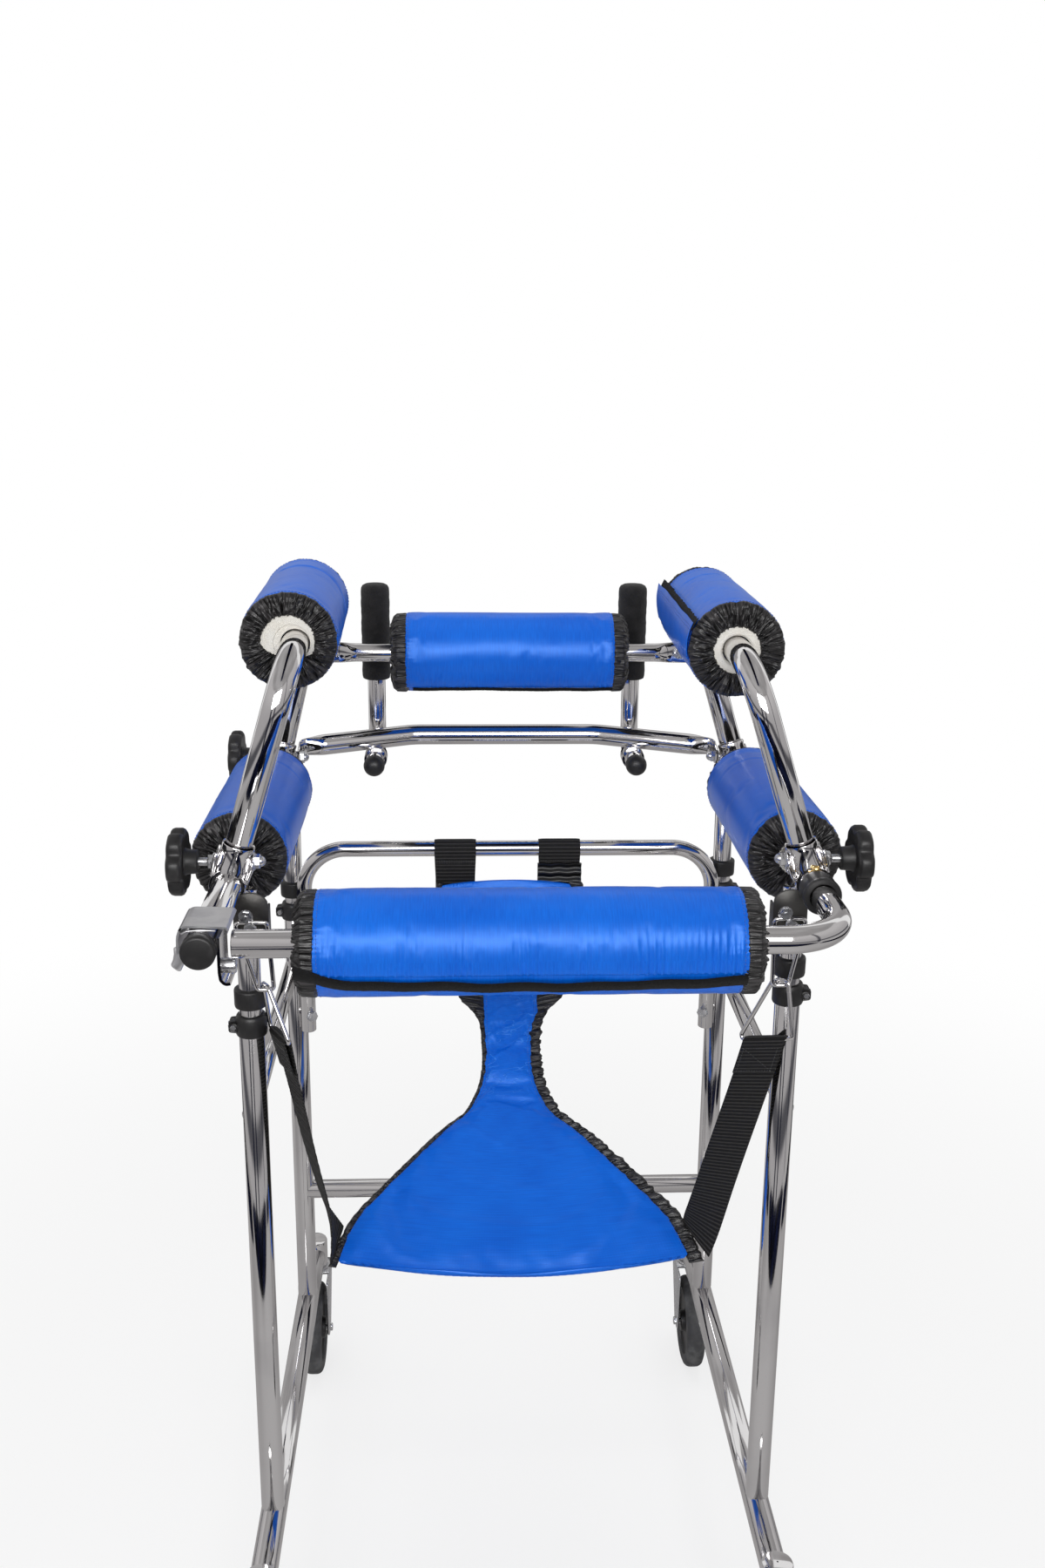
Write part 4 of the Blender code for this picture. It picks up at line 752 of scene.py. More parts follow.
def posts():
    """Telescoping legs: stop rings on the inner tubes, clamp collars on the outer ones."""
    for side, sign in SIDES.items():
        for place, y in LEGS.items():
            x, drop = sign * POST_X, COLLAR_DROP[place][side]
            tag = f"{side}_{place}"
            inner = Shape().rod(at(x, y, -0.008), at(x, y, -drop - 0.228), INNER_R, 40)
            dress(inner, f"{tag}_inner_tube", "upper_frame", CHROME, f"{tag}_inner_post")
            ring = Shape().turned([(0.0112, 0.0302), (0.0140, 0.0300), (0.0156, 0.0290), (0.0160, 0.0276),
                                   (0.0159, 0.0126), (0.0154, 0.0106), (0.0140, 0.0100), (0.0112, 0.0100)],
                                  at(x, y, -drop), UP, 48)
            dress(ring, f"{tag}_stop_ring", "upper_frame", PLASTIC)
            outer = Shape().turned([(0.0114, 0), (POST_R - 0.0006, 0), (POST_R, -0.0008),
                                    (POST_R, BASE_Z + drop + 0.010), (0.0114, BASE_Z + drop + 0.010)],
                                   at(x, y, -drop + 0.0018), UP, 48)
            dress(outer, f"{tag}_outer_tube", "base_frame", CHROME, f"{tag}_outer_post")
            collar = Shape().turned([(0.0114, 0.0020), (0.0136, 0.0019), (0.0144, 0.0010), (0.0150, -0.0006),
                                     (0.0156, -0.0020), (0.0157, -0.0180), (0.0150, -0.0196),
                                     (0.0128, -0.0202), (0.0114, -0.0202)], at(x, y, -drop), UP, 48)
            out = Vector((sign, 0, 0))
            boss = at(x, y, -drop - 0.010) + out * 0.0120
            ear = [(0.0, -0.0068), (0.0100, -0.0056), (0.0100, 0.0056), (0.0, 0.0068)]
            ear = soft_corners(ear, 0.0028)
            for way in (-1, 1):
                collar.slab(ear, way * 0.0012, way * 0.0066, (boss, out, UP, AHEAD), 0.0006)
            collar.rod(boss + out * 0.0040 - AHEAD * 0.0088, boss + out * 0.0040 + AHEAD * 0.0078, 0.0044, 24)
            dress(collar, f"{tag}_clamp_collar", "base_frame", PLASTIC)
            screw = Shape().hex_head(boss + out * 0.0050 - AHEAD * 0.0082, -AHEAD, 0.0056, 0.0022)
            screw.turned([(0, 0), (0.0036, 0), (0.0036, 0.0006), (0, 0.0012)], boss + out * 0.0102, out, 20)
            dress(screw, f"{tag}_collar_screw", "base_frame", STEEL)


def brackets():
    """Dark channel plates behind the near posts, each with two nuts and the bolt of its bail."""
    front = LEGS["near"] - 0.0153
    for side, sign in SIDES.items():
        x = sign * BRACKET_X
        outline = [(-0.017, -0.066), (-0.017, -0.020)]
        outline += [(-0.017 * math.cos(angle), -0.018 + 0.013 * math.sin(angle))
                    for angle in (0.3, 0.6, 0.9, 1.2, 1.57, 1.94, 2.24, 2.54, 2.84)]
        outline += [(0.017, -0.020), (0.017, -0.066)]
        plate = Shape().slab(outline, 0.0, PLATE, (at(x, front - PLATE, 0), RIGHT, UP, AHEAD), 0.0008)
        for way in (-1, 1):
            low, high = sorted((x + way * 0.0145, x + way * 0.0168))
            plate.box(at(low, front - 0.0022, -0.0655), at(high, front + 0.0155, -0.0215), 0.0009)
        post_face = LEGS["near"] - INNER_R + 0.002
        plate.box(at(x - 0.010, front - 0.001, -0.062), at(x + 0.012, post_face, -0.024), 0.001)
        dress(plate, f"{side}_bracket_plate", "upper_frame", DARK)
        bolts = Shape()
        bolt = at(x, front - PLATE, BAIL_BOLT_Z)
        bolts.rod(bolt + AHEAD * 0.001, bolt - AHEAD * 0.0051, BAIL_BOLT_R, 24)
        bolts.hex_head(bolt - AHEAD * 0.0051, -AHEAD, 0.0120, 0.0040, 0.4)
        nut = at(x - 0.0050, front - 0.0026, -0.0290)
        bolts.turned([(0.001, 0), (0.0070, 0), (0.0072, 0.0010), (0.001, 0.0012)], nut, -AHEAD, 32)
        bolts.hex_head(nut - AHEAD * 0.0010, -AHEAD, 0.0100, 0.0046, 0.9)
        bolts.turned([(0, 0), (0.0030, 0), (0.0028, 0.0014), (0, 0.0018)], nut - AHEAD * 0.0054, -AHEAD, 20)
        dress(bolts, f"{side}_bracket_bolts", "upper_frame", STEEL)


def wire_loop(name, corners, node):
    start = (corners[0] + corners[-1]) / 2
    path = rounded([start, *corners, start], (0.0042,) * len(corners), 15.0)
    shape = Shape().tube(path[:-1], WIRE_R, 16, closed=True)
    dress(shape, name, "upper_frame", CHROME, node)


BAIL_FOOT = {"left": 0.250, "right": 0.2555}
RING_TURN = {"left": -66.0, "right": -41.0}
RING_TILT = {"left": 7.0, "right": 18.0}
RING_HANG = {"left": -0.054, "right": -0.063}
RING_BASE = {}


def bails_and_rings():
    for side, sign in SIDES.items():
        x, low_x = sign * BRACKET_X, sign * BAIL_FOOT[side]
        y = LEGS["near"] - 0.015 - PLATE - 0.0006 - WIRE_R
        top = BAIL_BOLT_Z + BAIL_BOLT_R + TOUCH_GAP + WIRE_R
        corners = ((x - 0.0155, top), (x + 0.0155, top),
                   (low_x + 0.008, BAIL_LOW_Z), (low_x - 0.008, BAIL_LOW_Z))
        wire_loop(f"{side}_bail_wire", [at(cx, y, cz) for cx, cz in corners], f"{side}_bail")
        tilt = Matrix.Rotation(math.radians(-RING_TILT[side]), 3, "Y")
        turn = Matrix.Rotation(math.radians(RING_TURN[side]), 3, "Z") @ tilt
        apex = at(low_x, y, BAIL_LOW_Z + 2 * WIRE_R + TOUCH_GAP)
        pull = Vector((-sign * 0.012, 0.0, RING_HANG[side]))
        spots = ((-0.0090, 0), (0.0090, 0), (0.032, 1), (-0.032, 1))
        wire_loop(f"{side}_ring_wire", [apex + turn @ Vector((px, 0, 0)) + pull * down for px, down in spots],
                  f"{side}_ring")
        RING_BASE[side] = (apex + pull, turn @ RIGHT)


def latch():
    """The rest plate with its roller, and the sheet keeper over the rail end with its lever."""
    x, edge = -RAIL_X, -RAIL_X + RAIL_R
    hook = [(0.0, 0.010), (0.0, -0.022), (0.0008, -0.0290), (0.0046, -0.0330), (0.0090, -0.0322)]
    path = [at(edge + 0.0018 + out, 0, z) for out, z in hook]
    path = rounded(path, (0.004,) * 3, 12.0)
    rest = Shape()
    rings = []
    points, frames = cross_frames(path)
    for point, (run, _, _) in zip(points, frames):
        across = run.cross(AHEAD).normalized() * 0.0014
        rings.append([point - AHEAD * 0.012 + across, point + AHEAD * 0.030 + across,
                      point + AHEAD * 0.030 - across, point - AHEAD * 0.012 - across])
    rest.loft(rings)
    dress(rest, "gate_rest_hook", "upper_frame", CHROME, "gate_rest")
    peg = at(edge + 0.002, 0.0, -0.0198)
    roller = Shape().turned([(0.001, 0), (0.0058, 0), (0.0066, 0.0008), (0.0067, 0.0120), (0.0060, 0.0130),
                             (0.001, 0.0134)], peg, RIGHT, 40)
    dress(roller, "gate_rest_roller", "upper_frame", STEEL)
    reach = RAIL_R + 0.0110
    spots = [(x - 0.0206, -0.0060), (x - 0.0200, 0.0130)]
    spots += [(x - 0.0150, 0.0200), (x + reach - 0.002, 0.0186), (x + reach, 0.0160)]
    roof_top = rounded([(*spot, 0) for spot in spots], (0.020, 0.010, 0.002), 12.0)
    keeper = Shape()
    rings = []
    points, frames = cross_frames([Vector((p.x, 0, p.y)) for p in roof_top])
    for point, (run, _, _) in zip(points, frames):
        inward = run.cross(AHEAD).normalized() * -0.0018
        base = at(point.x, 0, point.z)
        if (base + inward - at(x, 0, 0)).length > (base - at(x, 0, 0)).length:
            inward = -inward
        rings.append([base - AHEAD * 0.0080, base + AHEAD * 0.0400, base + AHEAD * 0.0400 + inward,
                      base - AHEAD * 0.0080 + inward])
    keeper.loft(rings)
    dress(keeper, "latch_roof", "latch", SATIN, "latch_keeper")
    lever = [(x - 0.0192, -0.003, 0.0022), (x - 0.0192, -0.010, 0.0022), (x - 0.0206, -0.0165, 0.0026),
             (x - 0.0228, -0.0212, 0.0032), (x - 0.0240, -0.0226, 0.0030)]
    path = [at(px, 0.001, pz) for px, pz, _ in lever]
    widths = [w for _, _, w in lever]
    arm = Shape().tube(path, 0.003, 24, up=AHEAD, edge=0.0010,
                       section=lambda share: (0.0052, widths[min(4, round(share * 4))]))
    ring = [(0.0147, 0.034), (0.0165, 0.0338), (0.0172, 0.0346), (0.0172, 0.0474), (0.0165, 0.0482),
            (0.0147, 0.048)]
    arm.turned(ring, at(x, 0, 0), AHEAD, 48)
    lip = [at(x - 0.0160, -0.0072, 0.0120), at(x - 0.0110, -0.0072, 0.0146), at(x, -0.0072, 0.0156),
           at(x + 0.0140, -0.0072, 0.0150)]
    arm.tube(lip, 0.0011, 12)
    dress(arm, "latch_lever", "latch", SATIN)


def base():
    """Base rails with castor sockets, stretchers and the front bar, as guessed in the source."""
    for side, sign in SIDES.items():
        x = sign * POST_X
        shape = Shape().rod(at(x, BASE_START, BASE_Z), at(x, BASE_END, BASE_Z), RAIL_R, 40)
        for y in (BASE_START, BASE_END):
            shape.turned([(0.001, -0.0170), (0.0152, -0.0170), (0.0166, -0.0160), (0.0168, -0.0145),
                          (0.0168, 0.0190), (0.0160, 0.0212), (0.0130, 0.0220), (0.001, 0.0222)],
                         at(x, y, BASE_Z), UP, 48)
        dress(shape, f"{side}_base_tube", "base_frame", CHROME, f"{side}_base_rail")
        out = x + sign * 0.0045
        bar = Shape().rod(at(out, LEGS["near"], STRETCHER_Z), at(out, LEGS["far"], STRETCHER_Z), HOOP_R, 32)
        dress(bar, f"{side}_stretcher_tube", "base_frame", CHROME, f"{side}_side_stretcher")
    ends = [at(x, LEGS["far"], FRONT_BAR_Z) for x in (-POST_X, POST_X)]
    bar = Shape().rod(*ends, POST_R - 0.0008, 40)
    dress(bar, "front_bar_tube", "base_frame", CHROME, "front_crossbar")


def castors():
    for side, sign in SIDES.items():
        for place in LEGS:
            tag = f"{side}_{place}"
            x = sign * POST_X
            y = BASE_END if place == "far" else BASE_START
            hub_z = WHEEL_R - RAIL_Z
            crown = BASE_Z - 0.0173
            inner = WHEEL_HALF + FORK_GAP
            fork = Shape().turned([(0.001, -0.008), (0.0185, -0.008), (0.0198, -0.0066), (0.0200, -0.0016),
                                   (0.0190, 0.0), (0.0060, 0.0), (0.0060, 0.0002), (0.001, 0.0002)],
                                  at(x, y, crown), UP, 48)
            heel = hub_z + WHEEL_R + 0.017
            outline = [(y - 0.019, crown - 0.004), (y + 0.019, crown - 0.004),
                       (y - TRAIL + 0.012, hub_z - 0.008), (y - TRAIL - 0.012, hub_z - 0.008),
                       (y - TRAIL - 0.014, heel)]
            outline = soft_corners(outline, 0.006, 12.0)
            for way in (-1, 1):
                low, high = sorted((x + way * inner, x + way * (inner + FORK_SHEET)))
                fork.slab(outline, low, high, ((0, GATE_Y, RAIL_Z), AHEAD, UP, RIGHT), 0.0009)
            low = at(x - inner - 0.002, y - 0.0185, crown - 0.0072)
            fork.box(low, at(x + inner + 0.002, y + 0.0185, crown - 0.003))
            axle = at(x, y - TRAIL, hub_z)
            for way in (-1, 1):
                fork.hex_head(axle + RIGHT * (way * (inner + FORK_SHEET)), RIGHT * way, 0.0095, 0.0034, 0.2)
            fork.rod(axle - RIGHT * inner, axle + RIGHT * inner, 0.0040, 20)
            if place == "near":
                hinge = at(x, y - TRAIL - PEDAL_BACK, hub_z + WHEEL_R + PEDAL_RISE)
                fork.rod(hinge - RIGHT * (inner + 0.006), hinge + RIGHT * (inner + 0.006), 0.0025, 20)
            dress(fork, f"{tag}_fork_sheet", f"{tag}_castor", STEEL, f"{tag}_castor_fork")
            wheel(tag, axle)
            if place == "near":
                pedal(tag, x, y)


def wheel(tag, axle):
    half = WHEEL_HALF
    hub = Shape().turned([(0.0043, half), (0.0120, half), (0.0140, half - 0.0006), (0.0152, half - 0.0060),
                          (0.0180, half - 0.0078), (0.0400, half - 0.0080), (0.0436, half - 0.0060),
                          (0.0460, half - 0.0060), (0.0460, -half + 0.0060), (0.0436, -half + 0.0060),
                          (0.0400, -half + 0.0080), (0.0180, -half + 0.0078), (0.0152, -half + 0.0060),
                          (0.0140, -half + 0.0006), (0.0120, -half), (0.0043, -half)], axle, RIGHT, 64)
    dress(hub, f"{tag}_wheel_hub", f"{tag}_wheel", PLASTIC)
    tyre = Shape()
    turn = RIGHT.to_track_quat("Z", "Y").to_matrix()
    profile = [(0.0440, 0.0086), (0.0455, 0.0118), (0.0500, 0.0130), (0.0550, 0.0128), (0.0590, 0.0112),
               (0.0612, 0.0088), (0.0622, 0.0062), (0.0625, 0.0030), (0.0625, 0.0)]
    profile += [(radius, -along) for radius, along in reversed(profile[:-1])]
    count = 144
    rings = []
    for radius, along in profile:
        ring = []
        for i in range(count):
            groove = 0.0009 if i % 6 in (0, 1) and abs(along) > 0.004 and radius > 0.058 else 0.0
            angle = TAU * i / count
            ring.append(axle + turn @ Vector(((radius - groove) * math.cos(angle),
                                              (radius - groove) * math.sin(angle), along)))
        rings.append(ring)
    tyre.loft(rings, along=True)
    dress(tyre, f"{tag}_tyre", f"{tag}_wheel", RUBBER, f"{tag}_castor_wheel")


def pedal(tag, x, y):
    hinge = (y - TRAIL - PEDAL_BACK, 2 * WHEEL_R + PEDAL_RISE - RAIL_Z)
    spots = [(0.007, -0.005), (0.007, 0.005), (-0.028, 0.007), (-0.048, 0.002), (-0.049, -0.003),
             (-0.028, 0.001)]
    outline = [(hinge[0] + u, hinge[1] + v) for u, v in spots]
    lift = math.radians(-12.0)
    for behind in (0.026, 0.021, 0.016):
        u = y - TRAIL - behind - hinge[0]
        v = WHEEL_R - RAIL_Z + math.sqrt((WHEEL_R + TOUCH_GAP) ** 2 - behind ** 2) - hinge[1]
        outline.append((hinge[0] + u * math.cos(lift) - v * math.sin(lift),
                        hinge[1] + u * math.sin(lift) + v * math.cos(lift)))
    half = WHEEL_HALF + 0.0027
    shape = Shape().slab(soft_corners(outline, 0.0016, 20.0), x - half, x + half,
                         ((0, GATE_Y, RAIL_Z), AHEAD, UP, RIGHT), 0.0010)
    for i in range(5):
        rib = at(x, hinge[0] - 0.020 - i * 0.0055, hinge[1] + 0.0066 - i * 0.0012)
        shape.rod(rib - RIGHT * (half - 0.002), rib + RIGHT * (half - 0.002), 0.0011, 12)
    dress(shape, f"{tag}_pedal_moulding", f"{tag}_brake", PLASTIC, f"{tag}_brake_pedal")


# Cloth and foam.

def nylon_cloth(name, creased=False):
    """Woven blue taffeta: fine threads, a satin sheen, uneven tone, creases where it is pulled in with
    painted highlights on their ridges.
    """
    skin = Finish(name, "blue_nylon", Sheen_Weight=0.03, Sheen_Roughness=0.35, Sheen_Tint=(0.20, 0.5, 1.0),
                  Specular_IOR_Level=0.58, Specular_Tint=(0.42, 0.70, 1.0))
    flat = skin.cloth()
    across, down = skin.along("X", flat), skin.along("Y", flat)
    weave = across.wave(0.0011) * down.wave(0.0011)
    slub = skin.cloud(1.0, 3.0, 0.6, flat, (55.0, 800.0, 1.0))
    cloud = skin.cloud(11.0, 3.0)
    skin.set(Roughness=0.24 + cloud * 0.06 + slub * 0.08 + weave * 0.04)
    colour = skin.mix(cloud.between(0.3, 0.7) * 0.35 + slub.between(0.25, 0.75) * 0.55 + weave * 0.1,
                      (0.0000, 0.094, 0.600), (0.001, 0.160, 0.800))
    height = weave * 0.35 + slub * 0.65
    if creased:
        place = skin.place()
        leaned = skin.node("ShaderNodeMapping", {0: place, 2: (0.0, 0.0, -0.25)})
        line = skin.cloud(1.0, 2.0, 0.5, leaned, (26.0, 105.0, 105.0)) - 0.5
        ridge_and_highlight = 1 - skin.node("ShaderNodeMath", [line], operation="ABSOLUTE").between(0.0, 0.020)
        ahead = skin.along("Y", place)
        neck = ahead.between(0.020, 0.060) * (1 - ahead.between(0.130, 0.160))
        ridge_and_highlight = ridge_and_highlight * neck * skin.cloud(32.0, 1.0).between(0.42, 0.58)
        # Painted highlight: the crease ridges on the seat's neck are painted a lighter blue; the same mask
        # also raises them in the bump.
        colour = skin.mix(ridge_and_highlight * 0.75, colour, (0.045, 0.250, 0.860))
        height = height + ridge_and_highlight * 2.2
    skin.set(Base_Color=colour)
    return skin.bump(height, 0.00025, 0.45)


def gather_cloth(name, broad, thin):
    """Thin black nylon, painted shade in its creases and painted highlights on its pleats: two stretches of
    noise across and along.
    """
    skin = Finish(name, "black_webbing", Specular_IOR_Level=0.60)
    flat = skin.cloth()
    fold = skin.node("ShaderNodeMath", [skin.cloud(1.0, 1.0, 0.5, flat, broad) - 0.5], operation="ABSOLUTE")
    open_unshaded = fold.between(0.0, 0.055)
    pleats = skin.cloud(1.0, 3.0, 0.6, flat, thin)
    weave = skin.along("X", flat).wave(0.0012) * skin.along("Y", flat).wave(0.0012)
    cloud = skin.cloud(60.0, 3.0)
    skin.set(Roughness=0.25 + cloud * 0.16)
    # Painted shade and highlight: near black in the creases, lighter on the pleats; the weave adds its own
    # tone.
    skin.set(Base_Color=skin.mix(open_unshaded * (0.15 + pleats.between(0.42, 0.70) * 0.80 + weave * 0.05),
                                 (0.0006, 0.0006, 0.0007), (0.044, 0.040, 0.042)))
    return skin.bump(weave * 0.03 + pleats * 0.5 + open_unshaded * 0.45, 0.0034, 0.9)


def webbing_cloth():
    """Heavy black webbing: broad ribs across the strap, their crests painted lighter as a painted highlight,
    with a fine twill and lint.
    """
    skin = Finish("black_webbing_weave", "black_webbing", Sheen_Weight=0.02, Sheen_Roughness=0.5,
                  Specular_IOR_Level=0.12)
    flat = skin.cloth()
    across, down = skin.along("X", flat), skin.along("Y", flat)
    twill = (across * 0.8 + down).wave(0.0016)
    ribs = down.wave(0.0046)
    lint = skin.cloud(300.0, 3.0)
    skin.set(Roughness=0.55 + ribs * 0.2)
    # Painted highlight on the rib crests; the twill and lint are the webbing's own tone.
    shade = ribs.between(0.6, 0.98) * 0.65 + twill * 0.1 + lint * 0.25
    skin.set(Base_Color=skin.mix(shade, (0.0025, 0.0025, 0.0027), (0.050, 0.048, 0.047)))
    return skin.bump(ribs * 0.7 + twill * 0.2 + lint * 0.1, 0.0012, 0.9)


def hook_tape():
    """Fuzzy black hook and loop tape."""
    skin = Finish("hook_tape", "black_webbing", Sheen_Weight=0.05, Sheen_Roughness=0.6,
                  Specular_IOR_Level=0.1)
    fuzz = skin.cloud(1400.0, 4.0, 0.7)
    clump = skin.cloud(260.0, 2.0)
    skin.set(Roughness=0.85 + fuzz * 0.1)
    skin.set(Base_Color=skin.mix(fuzz.between(0.45, 0.75) * 0.7 + clump * 0.3, (0.002, 0.002, 0.0022),
                                 (0.024, 0.023, 0.023)))
    return skin.bump(fuzz + clump * 0.5, 0.0010, 0.9)


def thread(name, slot, colour):
    skin = Finish(name, slot, Sheen_Weight=0.3, Roughness=0.6)
    twist = skin.cloud(900.0, 2.0)
    skin.set(Base_Color=skin.mix(twist, colour, tuple(c * 1.7 + 0.002 for c in colour)))
    return skin.bump(twist, 0.0002, 0.6)


NYLON = nylon_cloth("blue_taffeta")
SLING_NYLON = nylon_cloth("creased_taffeta_painted_highlights", True)
GATHER = gather_cloth("black_taffeta", (135.0, 15.0, 1.0), (330.0, 22.0, 1.0))
EDGING = gather_cloth("black_edging", (30.0, 150.0, 1.0), (60.0, 360.0, 1.0))
WEBBING = webbing_cloth()
TAPE = hook_tape()
CORE_FOAM = foam_rubber("cream_foam", "black_foam", (0.95, 0.93, 0.87), (0.88, 0.84, 0.76))
BLUE_THREAD = thread("blue_thread", "blue_nylon", (0.003, 0.060, 0.33))
BLACK_THREAD = thread("black_thread", "black_webbing", (0.012, 0.012, 0.013))


def swell(obj, held, most, pressure, spare):
    """Fills a cloth body with air for twenty frames, held where it is sewn, and keeps the result."""
    start = points_of(obj)
    group = obj.vertex_groups.new(name="sewn")
    group.add(list(held), 1.0, "REPLACE")
    cloth = obj.modifiers.new("cloth", "CLOTH")
    settings = cloth.settings
    settings.quality = 6
    settings.mass = 0.2
    settings.tension_stiffness = settings.compression_stiffness = 18.0
    settings.shear_stiffness = 6.0
    settings.bending_stiffness = 0.35
    settings.use_pressure = True
    settings.uniform_pressure_force = pressure
    settings.effector_weights.gravity = 0.0
    settings.vertex_group_mass = group.name
    settings.shrink_min = spare
    scene = bpy.context.scene
    for step in range(1, 21):
        scene.frame_set(step)
    graph = bpy.context.evaluated_depsgraph_get()
    shift = points_of(obj.evaluated_get(graph)) - start
    far = np.linalg.norm(shift, axis=1, keepdims=True)
    shift *= np.minimum(1.0, most / np.maximum(far, 1e-9))
    obj.modifiers.remove(cloth)
    obj.vertex_groups.clear()
    set_points(obj, start + shift)
    scene.frame_set(1)


def subdivided(obj, levels):
    """Gives the object the mesh of a subdivision surface."""
    smooth = obj.modifiers.new("smooth", "SUBSURF")
    smooth.levels = smooth.render_levels = levels
    graph = bpy.context.evaluated_depsgraph_get()
    made = obj.evaluated_get(graph)
    mesh = bpy.data.meshes.new_from_object(made, preserve_all_data_layers=True, depsgraph=graph)
    old, name = obj.data, obj.data.name
    obj.modifiers.clear()
    obj.data = mesh
    bpy.data.meshes.remove(old)
    mesh.name = name
    mesh.shade_smooth()


class Barrel:
    """The round coordinates of a roll: an angle from its first side, a distance along, a radius."""

    def __init__(self, start, end, shift, inset):
        self.inset = inset
        self.start = Vector(start) + Vector(shift)
        self.run = (Vector(end) - Vector(start)).normalized()
        self.length = (Vector(end) - Vector(start)).length
        self.side = self.run.cross(UP).normalized()
        self.over = self.side.cross(self.run)

    def spot(self, angle, along, radius):
        out = self.side * math.cos(angle) + self.over * math.sin(angle)
        return self.start + self.run * along + out * radius

    def reshape(self, obj, change):
        """Moves each point out by change(angle, along, radius), worked on whole arrays."""
        points = points_of(obj)
        away = points - np.array(self.start)
        run, side, over = np.array(self.run), np.array(self.side), np.array(self.over)
        along = away @ run
        u, v = away @ side, away @ over
        radius = np.hypot(u, v)
        outwards = (u[:, None] * side + v[:, None] * over) / np.maximum(radius, 1e-6)[:, None]
        points += outwards * change(np.arctan2(v, u), along, radius)[:, None]
        set_points(obj, points)

    def mirrored(self, along, far_end):
        """The distance along, counted from the end that is asked for."""
        return self.length - along if far_end else along

    def rays(self, angles, alongs, reach):
        """Rays that run from outside the roll to its axis."""
        for angle, along in zip(angles, alongs):
            spot = self.spot(angle, along, reach)
            yield spot, self.spot(angle, along, 0.0) - spot


def cloud_field(seed, count=7):
    """A smooth wandering value from a few seeded waves, for whole arrays."""
    draw = np.random.default_rng(int(10 * seed))
    terms = [(draw.normal(0, 1, 2), draw.uniform(0, TAU)) for _ in range(count)]

    def value(u, v):
        total = 0.0
        for (a, b), phase in terms:
            total = total + np.sin(u * a + v * b + phase)
        return total / count ** 0.5

    return value


def turn_between(angle, from_angle):
    """How far an angle lies past another, from 0 to a full turn."""
    return np.mod(angle - from_angle, TAU)


def sleeve(name, body, barrel, radius, seam, seed, creases, levels, pucker, node):
    """The blue cover: a sewn tube blown up, with a stepped flap edge, puckers and creases."""
    inset, length = barrel.inset, barrel.length
    around = 52 if levels == 2 else 60
    stations = [(radius * 0.80, inset + 0.004), (radius - 0.0070, inset + 0.0016), (radius - 0.0036, inset),
                (radius - 0.0016, inset + 0.0008)]
    inner = length - 2 * (inset + 0.004)
    count = round(inner / (0.0046 if levels == 2 else 0.0066))
    mid = [(radius - 0.0010, inset + 0.004 + inner * i / count) for i in range(count + 1)]
    profile = stations + mid + [(r, length - z) for r, z in reversed(stations)]
    rings = [[barrel.spot(TAU * i / around, z, r) for i in range(around)] for r, z in profile]
    spots = np.linspace(0, TAU * radius, around + 1)
    downs = [z for _, z in profile] + [profile[0][1]]
    shape = Shape().loft(rings, along=True, cloth=(spots, downs))
    obj = shape.make(name)
    seam_at = round((seam % TAU) / TAU * around) % around
    held = {row * around + i for row in range(len(profile)) for i in range(around)
            if row < 5 or row >= len(profile) - 5 or i == seam_at}
    swell(obj, held, 0.0010, 5.0, -0.007 if levels == 2 else -0.003)
    subdivided(obj, levels)
    slow, fine = cloud_field(seed), cloud_field(seed + 50, 9)

    def change(angle, along, r):
        live = np.clip((r - radius + 0.004) / 0.002, 0, 1)
        ends = np.minimum(along - inset, length - inset - along)
        out = 0.0003 * slow(angle * 2.2, along * 26) * np.clip(ends / 0.02, 0, 1)
        under = turn_between(angle, seam)
        # Past the flap's edge the lower layer shows, a cloth's thickness further in.
        below = turn_between(seam, angle)
        step = np.where(below < 1.2, 1 - below / 1.2, 0.0)
        out = out - 0.0018 * step ** 0.5
        ripple = 1 - np.abs(np.sin(along * math.pi / RIPPLE_PITCH + 1.4 * fine(angle * 1.5, along * 40)))
        near = np.exp(-(under / 0.60) ** 2) * np.where(under < 2.2, 1, 0)
        out = out + pucker * (ripple - 0.4) * near * (0.6 + 0.4 * slow(angle, along * 90))
        teeth = np.sin(angle * radius * TAU / TOOTH_PITCH + 1.6 * fine(angle * 9, along * 30))
        out = out + 0.00035 * teeth * np.exp(-np.clip(ends, 0, 1) / 0.006)
        for centre, lean, low, high, deep in creases:
            line = centre + lean * np.sin(angle - low) * 0.02
            inside = np.clip((angle - low) / 0.25, 0, 1) * np.clip((high - angle) / 0.25, 0, 1)
            gap = (along - line) / 0.0022
            out = out - deep * np.exp(-gap * gap) * inside
            out = out + 0.5 * deep * np.exp(-(gap - 2.2) ** 2 / 3) * inside
        return out * live

    barrel.reshape(obj, change)
    obj.data.shade_smooth()
    dress(obj, name, body, NYLON, node)


